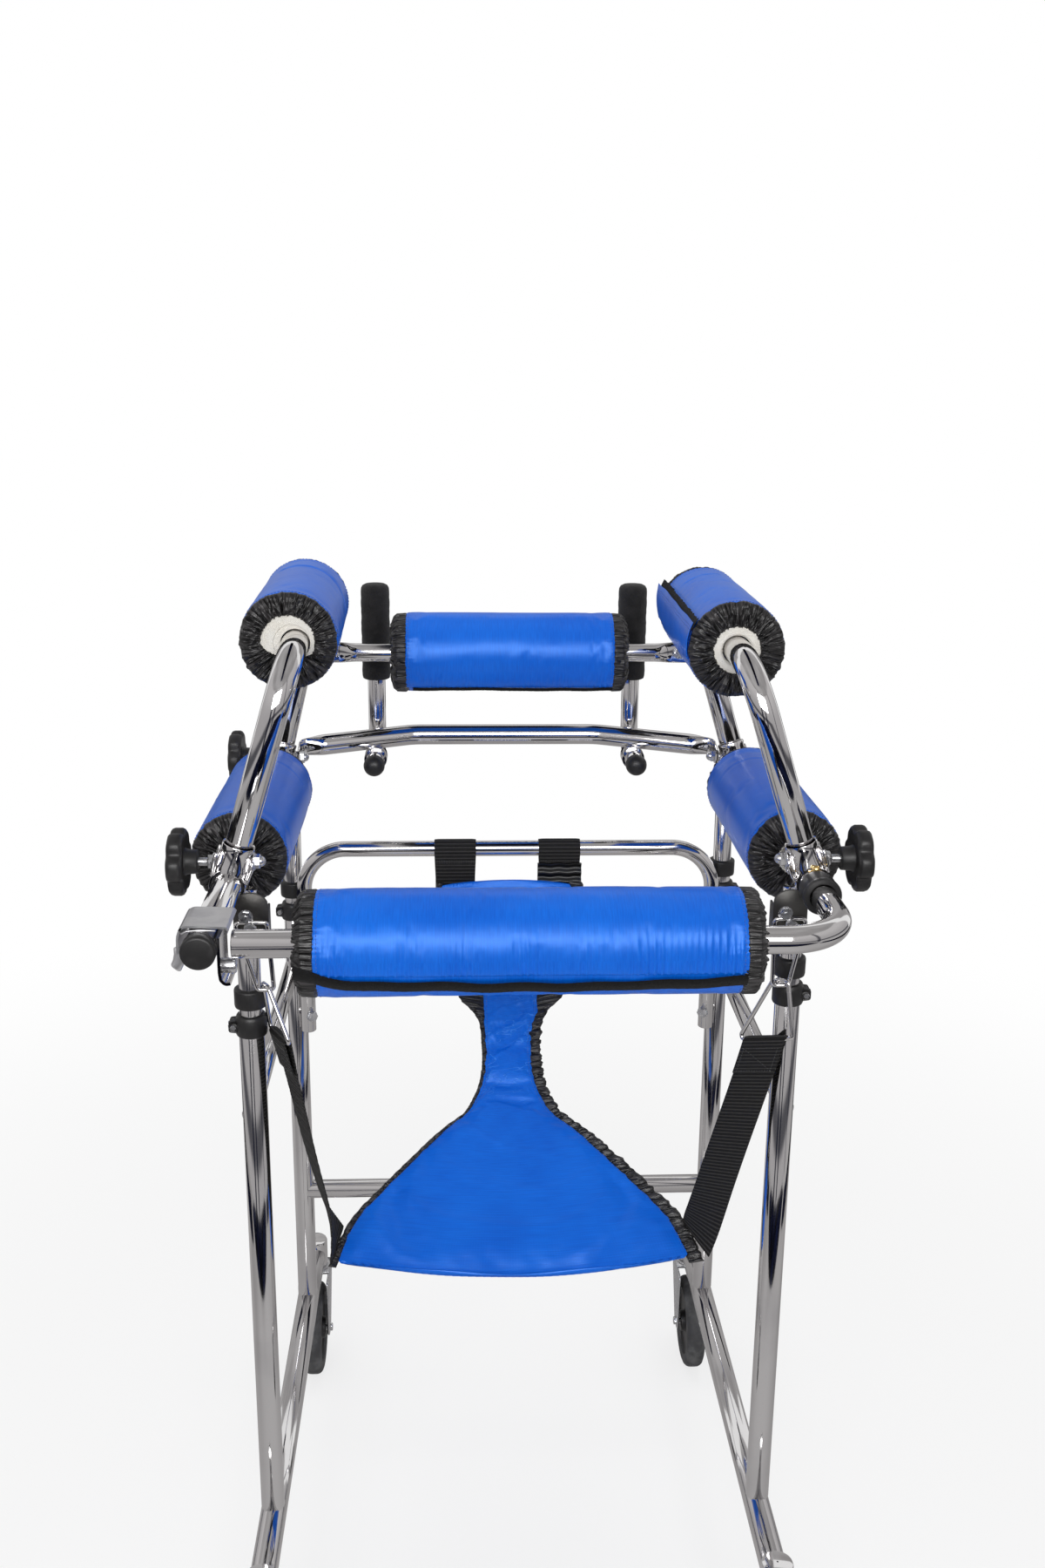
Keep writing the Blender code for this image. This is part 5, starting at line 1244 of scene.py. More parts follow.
def gathers(name, body, barrel, radius, rim, seed, far_end, closing):
    """One gathered black end: folds run from the seam to a frilled elastic opening."""
    around, edge, fold = 288, barrel.inset, 0.0027
    key = [(radius - 0.0048, edge + 0.0070, 0.0), (radius - 0.0026, edge + 0.0025, 0.0003),
           (radius - 0.0014, edge, 0.0007), (radius - 0.0022, 0.0065, 0.0013),
           (radius - 0.0055, 0.0034, 0.0017), (radius - 0.0110, 0.0018, 0.0020),
           (0.5 * (radius + rim), 0.0008, fold), (rim + 0.0050, 0.0002, fold),
           (rim + 0.0016, 0.0004, 0.0013), (rim, 0.0022, 0.0010), (rim + 0.0004, 0.0062, 0.0)]
    fine = []
    for (r0, z0, a0), (r1, z1, a1) in zip(key, key[1:]):
        steps = max(1, round(math.hypot(r1 - r0, z1 - z0) / 0.0013))
        fine += [(r0 + (r1 - r0) * i / steps, z0 + (z1 - z0) * i / steps, a0 + (a1 - a0) * i / steps)
                 for i in range(steps)]
    fine.append(key[-1])
    rings, run_length, down = [], 0.0, []
    for i, (r, z, amount) in enumerate(fine):
        before, after = fine[max(0, i - 1)], fine[min(len(fine) - 1, i + 1)]
        step = Vector((after[0] - before[0], after[1] - before[1])).normalized()
        normal = Vector((-step.y, step.x))
        if i:
            run_length += math.hypot(r - fine[i - 1][0], z - fine[i - 1][1])
        down.append(run_length)
        share = unit((radius - r) / (radius - rim))
        ring = []
        for j in range(around):
            angle = TAU * j / around
            c, s = math.cos(angle), math.sin(angle)
            spread = 5.4 + 1.2 * share
            broad = noise.noise(Vector((c * spread, s * spread, seed + share * 0.9)))
            thin = noise.noise(Vector((c * 12.0, s * 12.0, seed * 3.1 + share * 1.3)))
            folded = 0.9 - 3.6 * abs(broad) + 0.8 * (0.4 - 2.4 * abs(thin))
            frill = 0.7 * math.sin(angle * FRILLS + 3 * broad) * max(0.0, (share - 0.78) / 0.22)
            push = max(amount * (folded + frill), -0.0024)
            here = r
            if closing is not None:
                close = max(0.0, math.cos(angle - closing) - 0.25) / 0.75
                here -= close * (rim - 0.0152) * share ** 3
            place_r = here + normal.x * push * 0.8 + 0.0006 * frill * (share > 0.9)
            ring.append(barrel.spot(angle, barrel.mirrored(z + normal.y * push, far_end), place_r))
        rings.append(ring)
    back = [(rim + 0.003, 0.0085), (0.5 * (radius + rim), 0.0100), (radius - 0.0075, edge + 0.0070)]
    rings += [[barrel.spot(TAU * j / around, barrel.mirrored(z, far_end), r) for j in range(around)]
              for r, z in back]
    down += [run_length + 0.01 * (i + 1) for i in range(len(back) + 1)]
    shape = Shape().loft(rings, along=True, cloth=(np.linspace(0, TAU * radius, around + 1), down))
    obj = dress(shape.make(name, 80.0), name, body, GATHER)


def foam_core(name, body, barrel, tube_r, rim, far_end, offset):
    """The cream foam seen in the opening, with the step of its inner tube."""
    bore = tube_r + 0.0011
    step = max(bore + 0.0016, rim * 0.69)
    profile = [(bore, 0.0200), (bore, 0.0058), (bore + 0.0008, 0.0050), (step - 0.0006, 0.0047),
               (step, 0.0034), (step + 0.0010, 0.0030), (rim + 0.0006, 0.0034), (rim + 0.0024, 0.0066),
               (rim + 0.0024, 0.0200)]
    back = Vector(offset)
    rings = []
    for r, z in profile:
        hold = back if r <= bore + 0.001 else back * 0.55 if r <= step + 0.0012 else Vector()
        z = barrel.mirrored(z, far_end)
        rings.append([barrel.spot(TAU * j / 64, z, r) - hold for j in range(64)])
    obj = dress(Shape().loft(rings, along=True), name, body, CORE_FOAM)


def tape_strip(name, body, barrel, radius, seam, width, seed, loose, sag):
    """The wavy edge of hook tape along a cover's closing flap."""
    length = barrel.length
    count = 180
    wander = cloud_field(seed)
    rings, downs = [], []
    section = ((-0.5, -0.0006), (-0.45, 0.0010), (-0.15, 0.0021), (0.2, 0.0022), (0.45, 0.0012),
               (0.5, -0.0004), (0.2, -0.0014), (-0.2, -0.0014))
    start, end = barrel.inset + (0.003 if loose else 0.009) - loose, length - barrel.inset - 0.001
    for i in range(count + 1):
        z = start + (end - start) * i / count
        middle = seam - 0.5 * width / radius + float(wander(z * 60, 1.0)) * 0.024
        middle -= sag * (1 - (2 * z / length - 1) ** 2)
        middle += 18.0 * loose * max(0.0, 1 - z / 0.060) ** 2
        lift = 0.0008 + 0.0006 * float(wander(z * 45, 7.0)) + max(0.0, (barrel.inset - z)) * 0.35
        ring = []
        for share, out in section:
            fuzz = 0.00028 * noise.noise(Vector((z * 700, share * 9, seed)))
            here = radius - 0.0010 + lift + out + fuzz * (out > 0)
            ring.append(barrel.spot(middle + share * width / radius, z, here))
        rings.append(ring)
        downs.append(z)
    shape = Shape().loft(rings, cloth=(np.linspace(0, 0.02, 9), downs))
    dress(shape.make(name, 70.0), name, body, TAPE)


def catmull(rows, count):
    """A smooth curve through rows of numbers, sampled evenly in its parameter."""
    rows = [np.array(r, dtype=float) for r in rows]
    rows = [2 * rows[0] - rows[1]] + rows + [2 * rows[-1] - rows[-2]]
    out = []
    spans = len(rows) - 3
    for k in range(count + 1):
        t = spans * k / count
        i = min(spans - 1, int(t))
        t -= i
        a, b, c, d = rows[i:i + 4]
        out.append(0.5 * (2 * b + (c - a) * t + (2 * a - 5 * b + 4 * c - d) * t * t
                          + (3 * b - a - 3 * c + d) * t ** 3))
    return out


# The seat from its far end: y, height and half width.
SLING_PATH = ((0.5120, -0.1235, 0.090), (0.5085, -0.1600, 0.088), (0.4900, -0.2140, 0.080),
              (0.468, -0.246, 0.070), (0.4535, -0.2620, 0.0608), (0.4410, -0.2740, 0.0438),
              (0.4290, -0.2855, 0.0374), (0.4120, -0.3010, 0.0355), (0.3920, -0.3180, 0.0358),
              (0.3750, -0.3330, 0.0395), (0.3600, -0.3452, 0.0468), (0.3450, -0.3572, 0.0580),
              (0.3300, -0.3698, 0.0810), (0.3100, -0.3860, 0.1060), (0.2700, -0.4160, 0.1500),
              (0.2350, -0.4400, 0.1830), (0.1900, -0.4680, 0.2030))
SLING_LIFT = 0.10
SLING_BORDER = {"left": 0.0030, "right": 0.0115}


def sling_lift(y):
    """The edges ride higher than the middle, except at the far end, which lies over the loops."""
    return SLING_LIFT - 0.15 * unit((y - 0.460) / 0.040)


def sling_rows(count=96):
    """Stations down the seat: middle, half width, direction outwards and length so far."""
    rows = catmull(SLING_PATH, count)
    out, run = [], 0.0
    for i, (y, z, half) in enumerate(rows):
        before, after = rows[max(0, i - 1)], rows[min(count, i + 1)]
        step = Vector((0, after[0] - before[0], after[1] - before[1])).normalized()
        normal = Vector((0, -step.z, step.y))
        if normal.z < 0:
            normal = -normal
        if i:
            run += math.hypot(y - rows[i - 1][0], z - rows[i - 1][1])
        out.append((y, z, half, normal, run))
    return out


def sling_border(y, half, side):
    """How wide the black edge is beside the blue panel."""
    flare = half - 0.0335 if 0.425 < y < 0.500 else 0.0
    return max(SLING_BORDER[side], flare * unit((0.500 - y) / 0.018))


def sling():
    """The blue seat, blown up between its sewn edges and then wrinkled, and its black edges."""
    rows = sling_rows()
    count, across = len(rows), 40
    rings, downs = [], []
    held = []
    for i, (y, z, half, normal, run) in enumerate(rows):
        low = -(half - sling_border(y, half, "left")) / half
        high = (half - sling_border(y, half, "right")) / half
        ends = 0.45 + 0.55 * min(1.0, i / 5, (count - 1 - i) / 5)
        upper, lower = [], []
        for j in range(across + 1):
            share = low + (high - low) * j / across
            own = 2 * j / across - 1
            puff = max(0.0010, 0.0052 * ends * math.sqrt(max(0.0, 1 - own ** 4)))
            middle = at(half * share, y, z + sling_lift(y) * half * share * share)
            upper.append(middle + normal * puff)
            lower.append(middle - normal * puff * 0.9)
        ring = upper + lower[1:-1][::-1]
        base = i * len(ring)
        held += [base, base + 1, base + across - 1, base + across, base + across + 1, base + len(ring) - 1]
        if i in (0, 1, count - 2, count - 1):
            held += range(base, base + len(ring))
        rings.append(ring)
        downs.append(run)
    width = len(rings[0])
    spots = [0.28 * k / width for k in range(width + 1)]
    cushion = Shape().loft(rings, cloth=(spots, downs)).make("sling_cushion")
    swell(cushion, held, 0.0045, 3.0, -0.02)
    subdivided(cushion, 1)
    points = points_of(cushion)
    x, y = points[:, 0], points[:, 1] - GATE_Y
    slow, wander = cloud_field(71), cloud_field(72, 9)
    neck = np.exp(-((y - 0.415) / 0.050) ** 2)
    lines = 1 - np.abs(np.sin((y * 0.94 - x * 0.30) * math.pi / 0.0155 + 1.3 * wander(x * 40, y * 60)))
    wrinkle = 0.0030 * neck * (lines ** 2 - 0.3) * np.clip(0.5 + 0.8 * slow(x * 60, y * 55), 0, 1.2)
    seat = np.exp(-((y - 0.26) / 0.09) ** 2)
    folds = 1 - np.abs(np.sin(np.hypot(x, y - 0.44) * math.pi / 0.034 + 1.5 * slow(x * 16, y * 16)))
    wrinkle += 0.0016 * seat * (folds ** 4 - 0.1)
    points[:, 2] += wrinkle + 0.0007 * slow(x * 30, y * 34)
    set_points(cushion, points)
    dress(cushion, "sling_cushion", "base_frame", SLING_NYLON, "sling_seat")
    for side, sign in SIDES.items():
        sling_edge(side, sign, rows)


def sling_edge(side, sign, rows):
    """The black gathered edge, frilled outside and tucked under the blue panel."""
    rows = catmull([(y, z, half, n.y, n.z, run) for y, z, half, n, run in rows], 420)
    rings, downs = [], []
    for y, z, half, ny, nz, run in rows:
        normal = Vector((0, ny, nz)).normalized()
        wide = sling_border(y, half, side)
        frill = noise.noise(Vector((run * 190, 3.3 * sign, 0)))
        frill += 0.5 * noise.noise(Vector((run * 420, 1.7, sign)))
        bulge = 0.0034 * frill * min(1.0, wide / 0.010)
        inner, outer = half - wide - 0.0050, half + 0.0020 * frill * min(1.5, wide / 0.008)
        ring = []
        for share, lift in ((0.0, 0.0006), (0.25, 0.0016), (0.5, 0.0024), (0.75, 0.0024), (0.93, 0.0014),
                            (1.0, 0.0), (0.93, -0.0012), (0.6, -0.0020), (0.3, -0.0014), (0.0, -0.0010)):
            across = inner + (outer - inner) * share
            pleat = bulge * math.sin(share * math.pi)
            waver = 0.0018 * share * noise.noise(Vector((run * 130, share * 2, 5 + sign)))
            middle = at(sign * across, y, z + sling_lift(y) * across * across / half)
            ring.append(middle + normal * (lift + pleat + waver))
        rings.append(ring)
        downs.append(run)
    shape = Shape().loft(rings, cloth=([0.004 * k for k in range(11)], downs))
    dress(shape.make(f"sling_edge_{side}", 70.0), f"sling_edge_{side}", "base_frame", EDGING)


def ribbon(path, halves, thick, rib, pitch):
    """A flat strap along a path, its faces ribbed across; halves are half width vectors."""
    columns = 12
    rings, downs, run = [], [], 0.0
    last = None
    for i, (point, half) in enumerate(zip(path, halves)):
        before, after = path[max(0, i - 1)], path[min(len(path) - 1, i + 1)]
        normal = half.cross(after - before).normalized()
        if last is not None:
            run += (point - last).length
        last = point
        lift = thick / 2 + rib * (0.5 - 0.5 * math.cos(TAU * run / pitch)) - rib / 2
        upper, lower = [], []
        for j in range(columns + 1):
            share = 2 * j / columns - 1
            edge = 1 - 0.55 * abs(share) ** 14
            upper.append(point + half * share + normal * lift * edge)
            lower.append(point + half * share - normal * lift * edge)
        rings.append(upper + lower[::-1])
        downs.append(run)
    wide = halves[0].length * 2
    spots = [wide * j / columns for j in range(columns + 1)]
    spots += [s + wide for s in spots] + [2 * wide]
    return Shape().loft(rings, cloth=(spots, downs)), run


def web_loops():
    """Two webbing loops round the hoop; smooth elastic bands cover the front of the right one."""
    for side, middle in WEB_LOOP_X.items():
        outer = HOOP_R + TOUCH_GAP + 0.0011
        path = [at(middle, HOOP_Y - 0.0064, -0.1500), at(middle, HOOP_Y - 0.0072, -0.1380),
                at(middle, HOOP_Y - 0.0092, -0.1120), at(middle, HOOP_Y - 0.0100, -0.0985)]
        for i in range(17):
            angle = math.pi + 0.35 - (math.pi + 0.9) * i / 16
            path.append(at(middle, HOOP_Y + outer * math.cos(angle), HOOP_Z + outer * math.sin(angle)))
        path += [at(middle, HOOP_Y + 0.0050, -0.1030), at(middle, HOOP_Y - 0.0010, -0.1180),
                 at(middle, HOOP_Y - 0.0032, -0.1380), at(middle, HOOP_Y - 0.0030, -0.1500)]
        fine = finer(path, 0.0011)
        halves = [RIGHT * (0.0255 - 0.0012 * unit((HOOP_Z - 0.004 - (p.z - RAIL_Z)) / 0.03)) for p in fine]
        shape, run = ribbon(fine, halves, 0.0018, 0.0002, 0.0016)
        name = f"{side}_web_loop"
        loop = dress(shape.make(name), name, "base_frame", WEBBING)
        if side == "right":
            front = [(-0.0112 - 0.0040 * math.sin(math.pi * (0.5 + i / 8)) ** 2, -0.1045 - 0.0118 * (i / 8))
                     for i in range(25)]
            outline = front + [(-0.0106, z) for _, z in reversed(front[::6])]
            rings = []
            for i in range(19):
                sway = 0.0006 * math.sin(i * 0.9)
                rings.append([at(middle + 0.0030 * (i - 9), HOOP_Y + out, z + sway) for out, z in outline])
            dress(Shape().loft(rings), "web_loop_bands", "base_frame", GATHER)


def straps():
    """Webbing from the triangle rings to the sling's rear corners, folded over the wire and sewn."""
    for side, sign in SIDES.items():
        base, ring_run = RING_BASE[side]

        def edge_at(y):
            for one, two in zip(SLING_PATH, SLING_PATH[1:]):
                if one[0] >= y >= two[0]:
                    share = (one[0] - y) / (one[0] - two[0])
                    half = one[2] + share * (two[2] - one[2])
                    return at(sign * half, y, one[1] + share * (two[1] - one[1]) + SLING_LIFT * half)
            return None

        rear, ahead = edge_at(STRAP_REAR), edge_at(STRAP_AHEAD)
        corner = (rear + ahead) / 2 + Vector((sign * 0.0018, 0, 0))
        end_half = (rear - ahead) / 2
        top = base - UP * 0.0026
        top_half = ring_run * STRAP_HALF
        if top_half.dot(end_half) < 0:
            end_half = -end_half
        pull = (corner - top).normalized()
        facing = top_half.cross(pull).normalized()
        path, halves = [], []
        for i in range(9):
            angle = math.pi * (1 - i / 8)
            ahead_by, down_by = STRAP_FOLD_R * math.cos(angle), STRAP_FOLD_R * math.sin(angle)
            path.append(base + facing * ahead_by - pull * down_by)
            halves.append(top_half.copy())
        path.insert(0, base + facing * -0.0028 + pull * 0.020)
        path.insert(0, base + facing * -0.0024 + pull * 0.043)
        halves = [top_half.copy(), top_half.copy()] + halves
        steps = 150
        length = (corner - base).length
        for i in range(1, steps + 1):
            share = i / steps
            middle = base.lerp(corner, share)
            twist = 0.2 * share * share + 0.6 * max(0.0, share * 3.3 - 2.3) ** 2
            half = top_half.lerp(end_half, twist).normalized() * STRAP_HALF
            if share > 0.85:
                half = half * (1 - (share - 0.85) / 0.15 * (1 - end_half.length / STRAP_HALF))
            normal = half.cross(pull).normalized()
            off = STRAP_FOLD_R * (1 - min(1.0, share * length / 0.05)) + 0.0006 * math.sin(share * 9)
            path.append(middle + normal * off)
            halves.append(half)
        shape, run = ribbon(path, halves, 0.0019, 0.0011, 0.0046)
        name = f"{side}_strap_webbing"
        strap = dress(shape.make(name, 70.0), name, None, WEBBING, f"{side}_strap")
        STRAPS[side] = (strap, base, corner, run)


STRAPS = {}


def hang_straps():
    """Bakes each strap's place into its mesh."""
    for side, (strap, top, corner, run) in STRAPS.items():
        tuple(top)
        tuple(corner)
        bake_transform(strap)


ROLL_BARRELS = []


def rolls():
    """The six padded rolls with their covers, ends and foam."""
    deg = math.radians
    table = []
    half = GATE_ROLL / 2
    table.append(("gate_roll", "gate", "gate_pad", at(-half, 0, 0), at(half, 0, 0), GATE_R, 0.048, (0, 0, 0),
                  0.0235, deg(-17), (), 2, 0.0032))
    half = CHEST_ROLL / 2
    y, z = GATE_Y + CHEST_Y - CHEST_BACK, RAIL_Z + CHEST_RISE
    table.append(("chest_roll", "upper_frame", "chest_pad", Vector((-half, y, z)), Vector((half, y, z)),
                  CHEST_R, 0.049, (0, 0, 0), 0.0185, deg(-52), (), 2, 0.0012))
    for side, sign in SIDES.items():
        near, far = loop_axis(side, "near")[1], loop_axis(side, "far")[1]
        run = (far - near).normalized()
        start = near + run * (UPPER_ROLL_Y - LOOP_TOP_Y["near"])
        shift = (-0.007, 0.0, 0.002) if side == "left" else (0, 0, 0)
        creases = ((0.215, -0.6, deg(60), deg(150), 0.0007),)
        if side == "left":
            creases = ((0.185, 0.8, deg(-10), deg(125), 0.0015), (0.205, 0.8, deg(20), deg(70), 0.0009))
        seam = deg(215) if side == "left" else deg(146)
        rim = 0.0265 if side == "left" else 0.0235
        table.append((f"{side}_upper_roll", "upper_frame", f"{side}_upper_pad", start,
                      start + run * SIDE_ROLL, LOOP_R, 0.050, shift, rim, seam, creases, 1, 0.0005))
        low = at(sign * RAIL_X, LOWER_ROLL_Y, 0)
        creases = ((0.205, 0.5, deg(20), deg(160), 0.0006),)
        seam = deg(235) if side == "left" else deg(-55)
        table.append((f"{side}_lower_roll", "upper_frame", f"{side}_lower_pad", low,
                      low + AHEAD * SIDE_ROLL, RAIL_R, 0.050, (0, 0, 0), 0.0185, seam, creases, 1, 0.0005))
    for seed, row in enumerate(table):
        name, body, node, start, end, tube_r, radius, shift, rim, seam, creases, levels, pucker = row
        barrel = Barrel(start, end, shift, 0.0165 if name in ("gate_roll", "chest_roll") else 0.0095)
        ROLL_BARRELS.append((name, barrel, body))
        sleeve(f"{name}_cover", body, barrel, radius, seam, 11 * seed + 3, creases, levels, pucker, node)
        for end_name, far_end in (("near", False), ("far", True)):
            closing = deg(-100) if name == "left_upper_roll" and not far_end else None
            gathers(f"{name}_{end_name}_gathers", body, barrel, radius, rim, 5.3 * seed + 2.1 * far_end + 0.7,
                    far_end, closing)
            foam_core(f"{name}_{end_name}_foam", body, barrel, tube_r, rim, far_end, shift)
        if name != "right_upper_roll":
            width = {"gate_roll": 0.0120, "chest_roll": 0.0045}.get(name, 0.006)
            loose, sag = (0.018, 0.14) if name == "gate_roll" else (0.0, 0.0)
            tape_strip(f"{name}_tape", body, barrel, radius, seam, width, seed + 0.5, loose, sag)
        else:
            open_flap(body, barrel, radius)


def open_flap(body, barrel, radius):
    """The part-open closing flap of the right upper roll, with the tape beneath it."""
    low, high = math.radians(192), math.radians(149)
    count, rows = 90, 12
    wander = cloud_field(91)
    length = barrel.length
    outer, downs = [], []
    for i in range(count + 1):
        z = barrel.inset + 0.001 + (length - 2 * barrel.inset - 0.002) * i / count
        gape = 0.0020 + 0.0065 * (i / count) ** 1.2
        edge = 1 - 0.02 * float(wander(z * 70, 2.0))
        ring = []
        for j in range(rows + 1):
            share = j / rows
            angle = low + (high - low) * share * edge
            lift = 0.0006 + gape * share ** 1.6 + 0.0006 * share * float(wander(z * 120, share))
            lift -= 0.0005 * math.exp(-((share - 0.86) / 0.03) ** 2)
            ring.append(barrel.spot(angle, z, radius + lift))
        under = [barrel.spot(low + (high - low) * j / rows * edge, z,
                             radius + 0.0006 - 0.0009 + gape * (j / rows) ** 1.6)
                 for j in range(rows, -1, -1)]
        outer.append(ring + under)
        downs.append(z)
    spots = [0.0035 * k for k in range(2 * rows + 3)]
    flap = Shape().loft(outer, cloth=(spots, downs)).make("right_upper_roll_flap", 70.0)
    dress(flap, "right_upper_roll_flap", body, NYLON)
    strip = []
    for i in range(161):
        z = barrel.inset - 0.001 + (length - 2 * barrel.inset + 0.004) * i / 160
        gape = 0.0008 + 0.0046 * (i / 160) ** 1.2
        jag = 0.045 * noise.noise(Vector((z * 160, 4.0, 1.0)))
        ring = []
        for share, out in ((0.0, 0.0), (0.0, 0.5), (0.5, 0.8), (1.0, 1.0), (1.0, 0.3), (0.5, 0.0)):
            angle = math.radians(158) - math.radians(15) * share - jag * share
            ring.append(barrel.spot(angle, z, radius - 0.0008 + 0.0006 + gape * out))
        strip.append(ring)
    tape = Shape().loft(strip).make("right_upper_roll_tape", 70.0)
    dress(tape, "right_upper_roll_tape", body, TAPE)


# Geometry Nodes: stitches along sewn lines.

def stitch_tree():
    """Lays short thread stitches along a line of points at an even pitch."""
    tree = bpy.data.node_groups.new("stitch_row", "GeometryNodeTree")
    face = tree.interface
    face.new_socket(name="Line", in_out="INPUT", socket_type="NodeSocketGeometry")
    for name, value in (("Pitch", 0.0034), ("Length", 0.0024), ("Thread", 0.00035)):
        face.new_socket(name=name, in_out="INPUT", socket_type="NodeSocketFloat").default_value = value
    face.new_socket(name="Finish", in_out="INPUT", socket_type="NodeSocketMaterial")
    face.new_socket(name="Stitches", in_out="OUTPUT", socket_type="NodeSocketGeometry")

    add = node_adder(tree)
    given = add("NodeGroupInput")
    curve = add("GeometryNodeMeshToCurve", {"Mesh": given["Line"]})
    points = add("GeometryNodeCurveToPoints", {"Curve": curve[0], "Length": given["Pitch"]},
                 mode="LENGTH")
    shape = add("GeometryNodeMeshUVSphere", {"Segments": 6, "Rings": 4, "Radius": 0.5})
    size = add("ShaderNodeCombineXYZ", {"X": given["Thread"], "Y": given["Thread"], "Z": given["Length"]})
    slim = add("GeometryNodeTransform", {"Geometry": shape[0], "Scale": size[0]})
    rows = add("GeometryNodeInstanceOnPoints", {"Points": points["Points"],
                                                "Instance": slim[0],
                                                "Rotation": points["Rotation"]})
    real = add("GeometryNodeRealizeInstances", {"Geometry": rows[0]})
    smooth = add("GeometryNodeSetShadeSmooth", {"Geometry": real[0]})
    skin = add("GeometryNodeSetMaterial", {"Geometry": smooth[0], "Material": given["Finish"]})
    add("NodeGroupOutput", {0: skin[0]})
    return tree


STITCH_TREE = stitch_tree()


def stitches(name, body, lines, finish, pitch=0.0034, long=0.0024, thick=0.0007):
    """One piece of thread: every line of points sewn with even stitches."""
    points, edges = [], []
    for line in lines:
        base = len(points)
        points += [tuple(p) for p in line]
        edges += [(base + i, base + i + 1) for i in range(len(line) - 1)]
    mesh = bpy.data.meshes.new(name)
    mesh.from_pydata(points, edges, [])
    holder = placed(name, mesh)
    sew = holder.modifiers.new("sew", "NODES")
    sew.node_group = STITCH_TREE
    values = {"Pitch": pitch, "Length": long, "Thread": thick, "Finish": finish.material}
    for item in STITCH_TREE.interface.items_tree:
        if item.in_out == "INPUT" and item.name in values:
            sew[item.identifier] = values[item.name]
    holder.update_tag()
    graph = bpy.context.evaluated_depsgraph_get()
    mesh = bpy.data.meshes.new_from_object(holder.evaluated_get(graph), depsgraph=graph)
    holder.modifiers.clear()
    holder.data = mesh
    mesh.name = name
    return dress(holder, name, body, finish)


# Sewn lines, laid on the finished cloth.

def skin_of(name):
    """The surface of a finished piece, for rays to land on."""
    mesh = bpy.data.objects[name].data
    faces = [tuple(face.vertices) for face in mesh.polygons]
    return BVHTree.FromPolygons([vertex.co.copy() for vertex in mesh.vertices], faces)


def laid(surface, rays, reach=0.08, lift=0.0002):
    """Where each ray first meets the surface, lifted a little outside it."""
    spots = []
    for start, aim in rays:
        hit = surface.ray_cast(start, aim.normalized(), reach)[0]
        if hit is not None:
            spots.append(hit - aim.normalized() * lift)
    return spots


def sewn_covers():
    """A row of stitches beside each end seam of the six covers."""
    for name, barrel, body in ROLL_BARRELS:
        surface = skin_of(f"{name}_cover")
        angles = [TAU * i / 144 for i in range(145)]
        lines = [laid(surface, barrel.rays(angles, [along] * 145, 0.075))
                 for along in (barrel.inset + 0.0042, barrel.length - barrel.inset - 0.0042)]
        stitches(f"{name}_stitches", body, lines, BLUE_THREAD)


def sewn_flap():
    """Two rows along the open flap's edge."""
    _, barrel, body = next(row for row in ROLL_BARRELS if row[0] == "right_upper_roll")
    surface = skin_of("right_upper_roll_flap")
    alongs = [barrel.inset + 0.004 + (barrel.length - 2 * barrel.inset - 0.008) * i / 120
              for i in range(121)]
    lines = [laid(surface, barrel.rays([math.radians(degrees)] * 121, alongs, 0.085))
             for degrees in (154.5, 158.0)]
    stitches("right_upper_roll_flap_stitches", body, lines, BLUE_THREAD)


def sewn_sling():
    """Stitches beside both black edges of the seat."""
    surface = skin_of("sling_cushion")
    rows = sling_rows(160)
    lines = []
    for side, sign in SIDES.items():
        rays = []
        for y, z, half, normal, _ in rows[3:-3]:
            across = half - sling_border(y, half, side) - 0.0045
            spot = at(sign * across, y, z + sling_lift(y) * across * across / half) + normal * 0.03
            rays.append((spot, -normal))
        lines.append(laid(surface, rays))
    stitches("sling_stitches", "base_frame", lines, BLUE_THREAD)


def sewn_webbing():
    """Box stitching under each strap's ring, and rows on the two loops."""
    for side, (strap, top, corner, _) in STRAPS.items():
        surface = skin_of(strap.name)
        width, pull = RING_BASE[side][1], (corner - top).normalized()
        facing = width.cross(pull).normalized()
        lines = []
        for way in (1, -1):
            box = [(-0.020, 0.010), (0.020, 0.010), (0.020, 0.040), (-0.020, 0.040), (-0.020, 0.010),
                   (0.020, 0.040)]
            for (u0, v0), (u1, v1) in zip(box, box[1:]):
                rays = []
                for i in range(41):
                    u, v = u0 + (u1 - u0) * i / 40, v0 + (v1 - v0) * i / 40
                    spot = top + width * u + pull * v + facing * (way * 0.03)
                    rays.append((spot, facing * -way))
                lines.append(laid(surface, rays))
        thread = stitches(f"{side}_strap_stitches", None, lines, BLACK_THREAD, *WEB_STITCH)
        tuple(top)
        tuple(corner)
        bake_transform(thread)
    for side, middle in WEB_LOOP_X.items():
        surface = skin_of(f"{side}_web_loop")
        lines = []
        for z in (-0.1015, -0.1045):
            rays = [(at(middle - 0.0225 + 0.045 * i / 40, HOOP_Y - 0.05, z), AHEAD) for i in range(41)]
            lines.append(laid(surface, rays))
        stitches(f"{side}_web_loop_stitches", "base_frame", lines, BLACK_THREAD, *WEB_STITCH)


# Studio: lamps, floor and what shines in the metal.

def stage_mesh(name, points, finish, faces=((0, 1, 2, 3),)):
    mesh = bpy.data.meshes.new(name)
    mesh.from_pydata([tuple(point) for point in points], [], faces)
    mesh.materials.append(finish.material)
    obj = placed(name, mesh)
    return obj


def glow(name):
    """A finish that gives light and reflects none."""
    return Finish(name, Base_Color=(0.0, 0.0, 0.0), Roughness=1.0, Specular_IOR_Level=0.0)


def only_reflected(obj):
    obj.visible_camera = obj.visible_diffuse = obj.visible_shadow = False
    obj.visible_transmission = obj.visible_volume_scatter = False


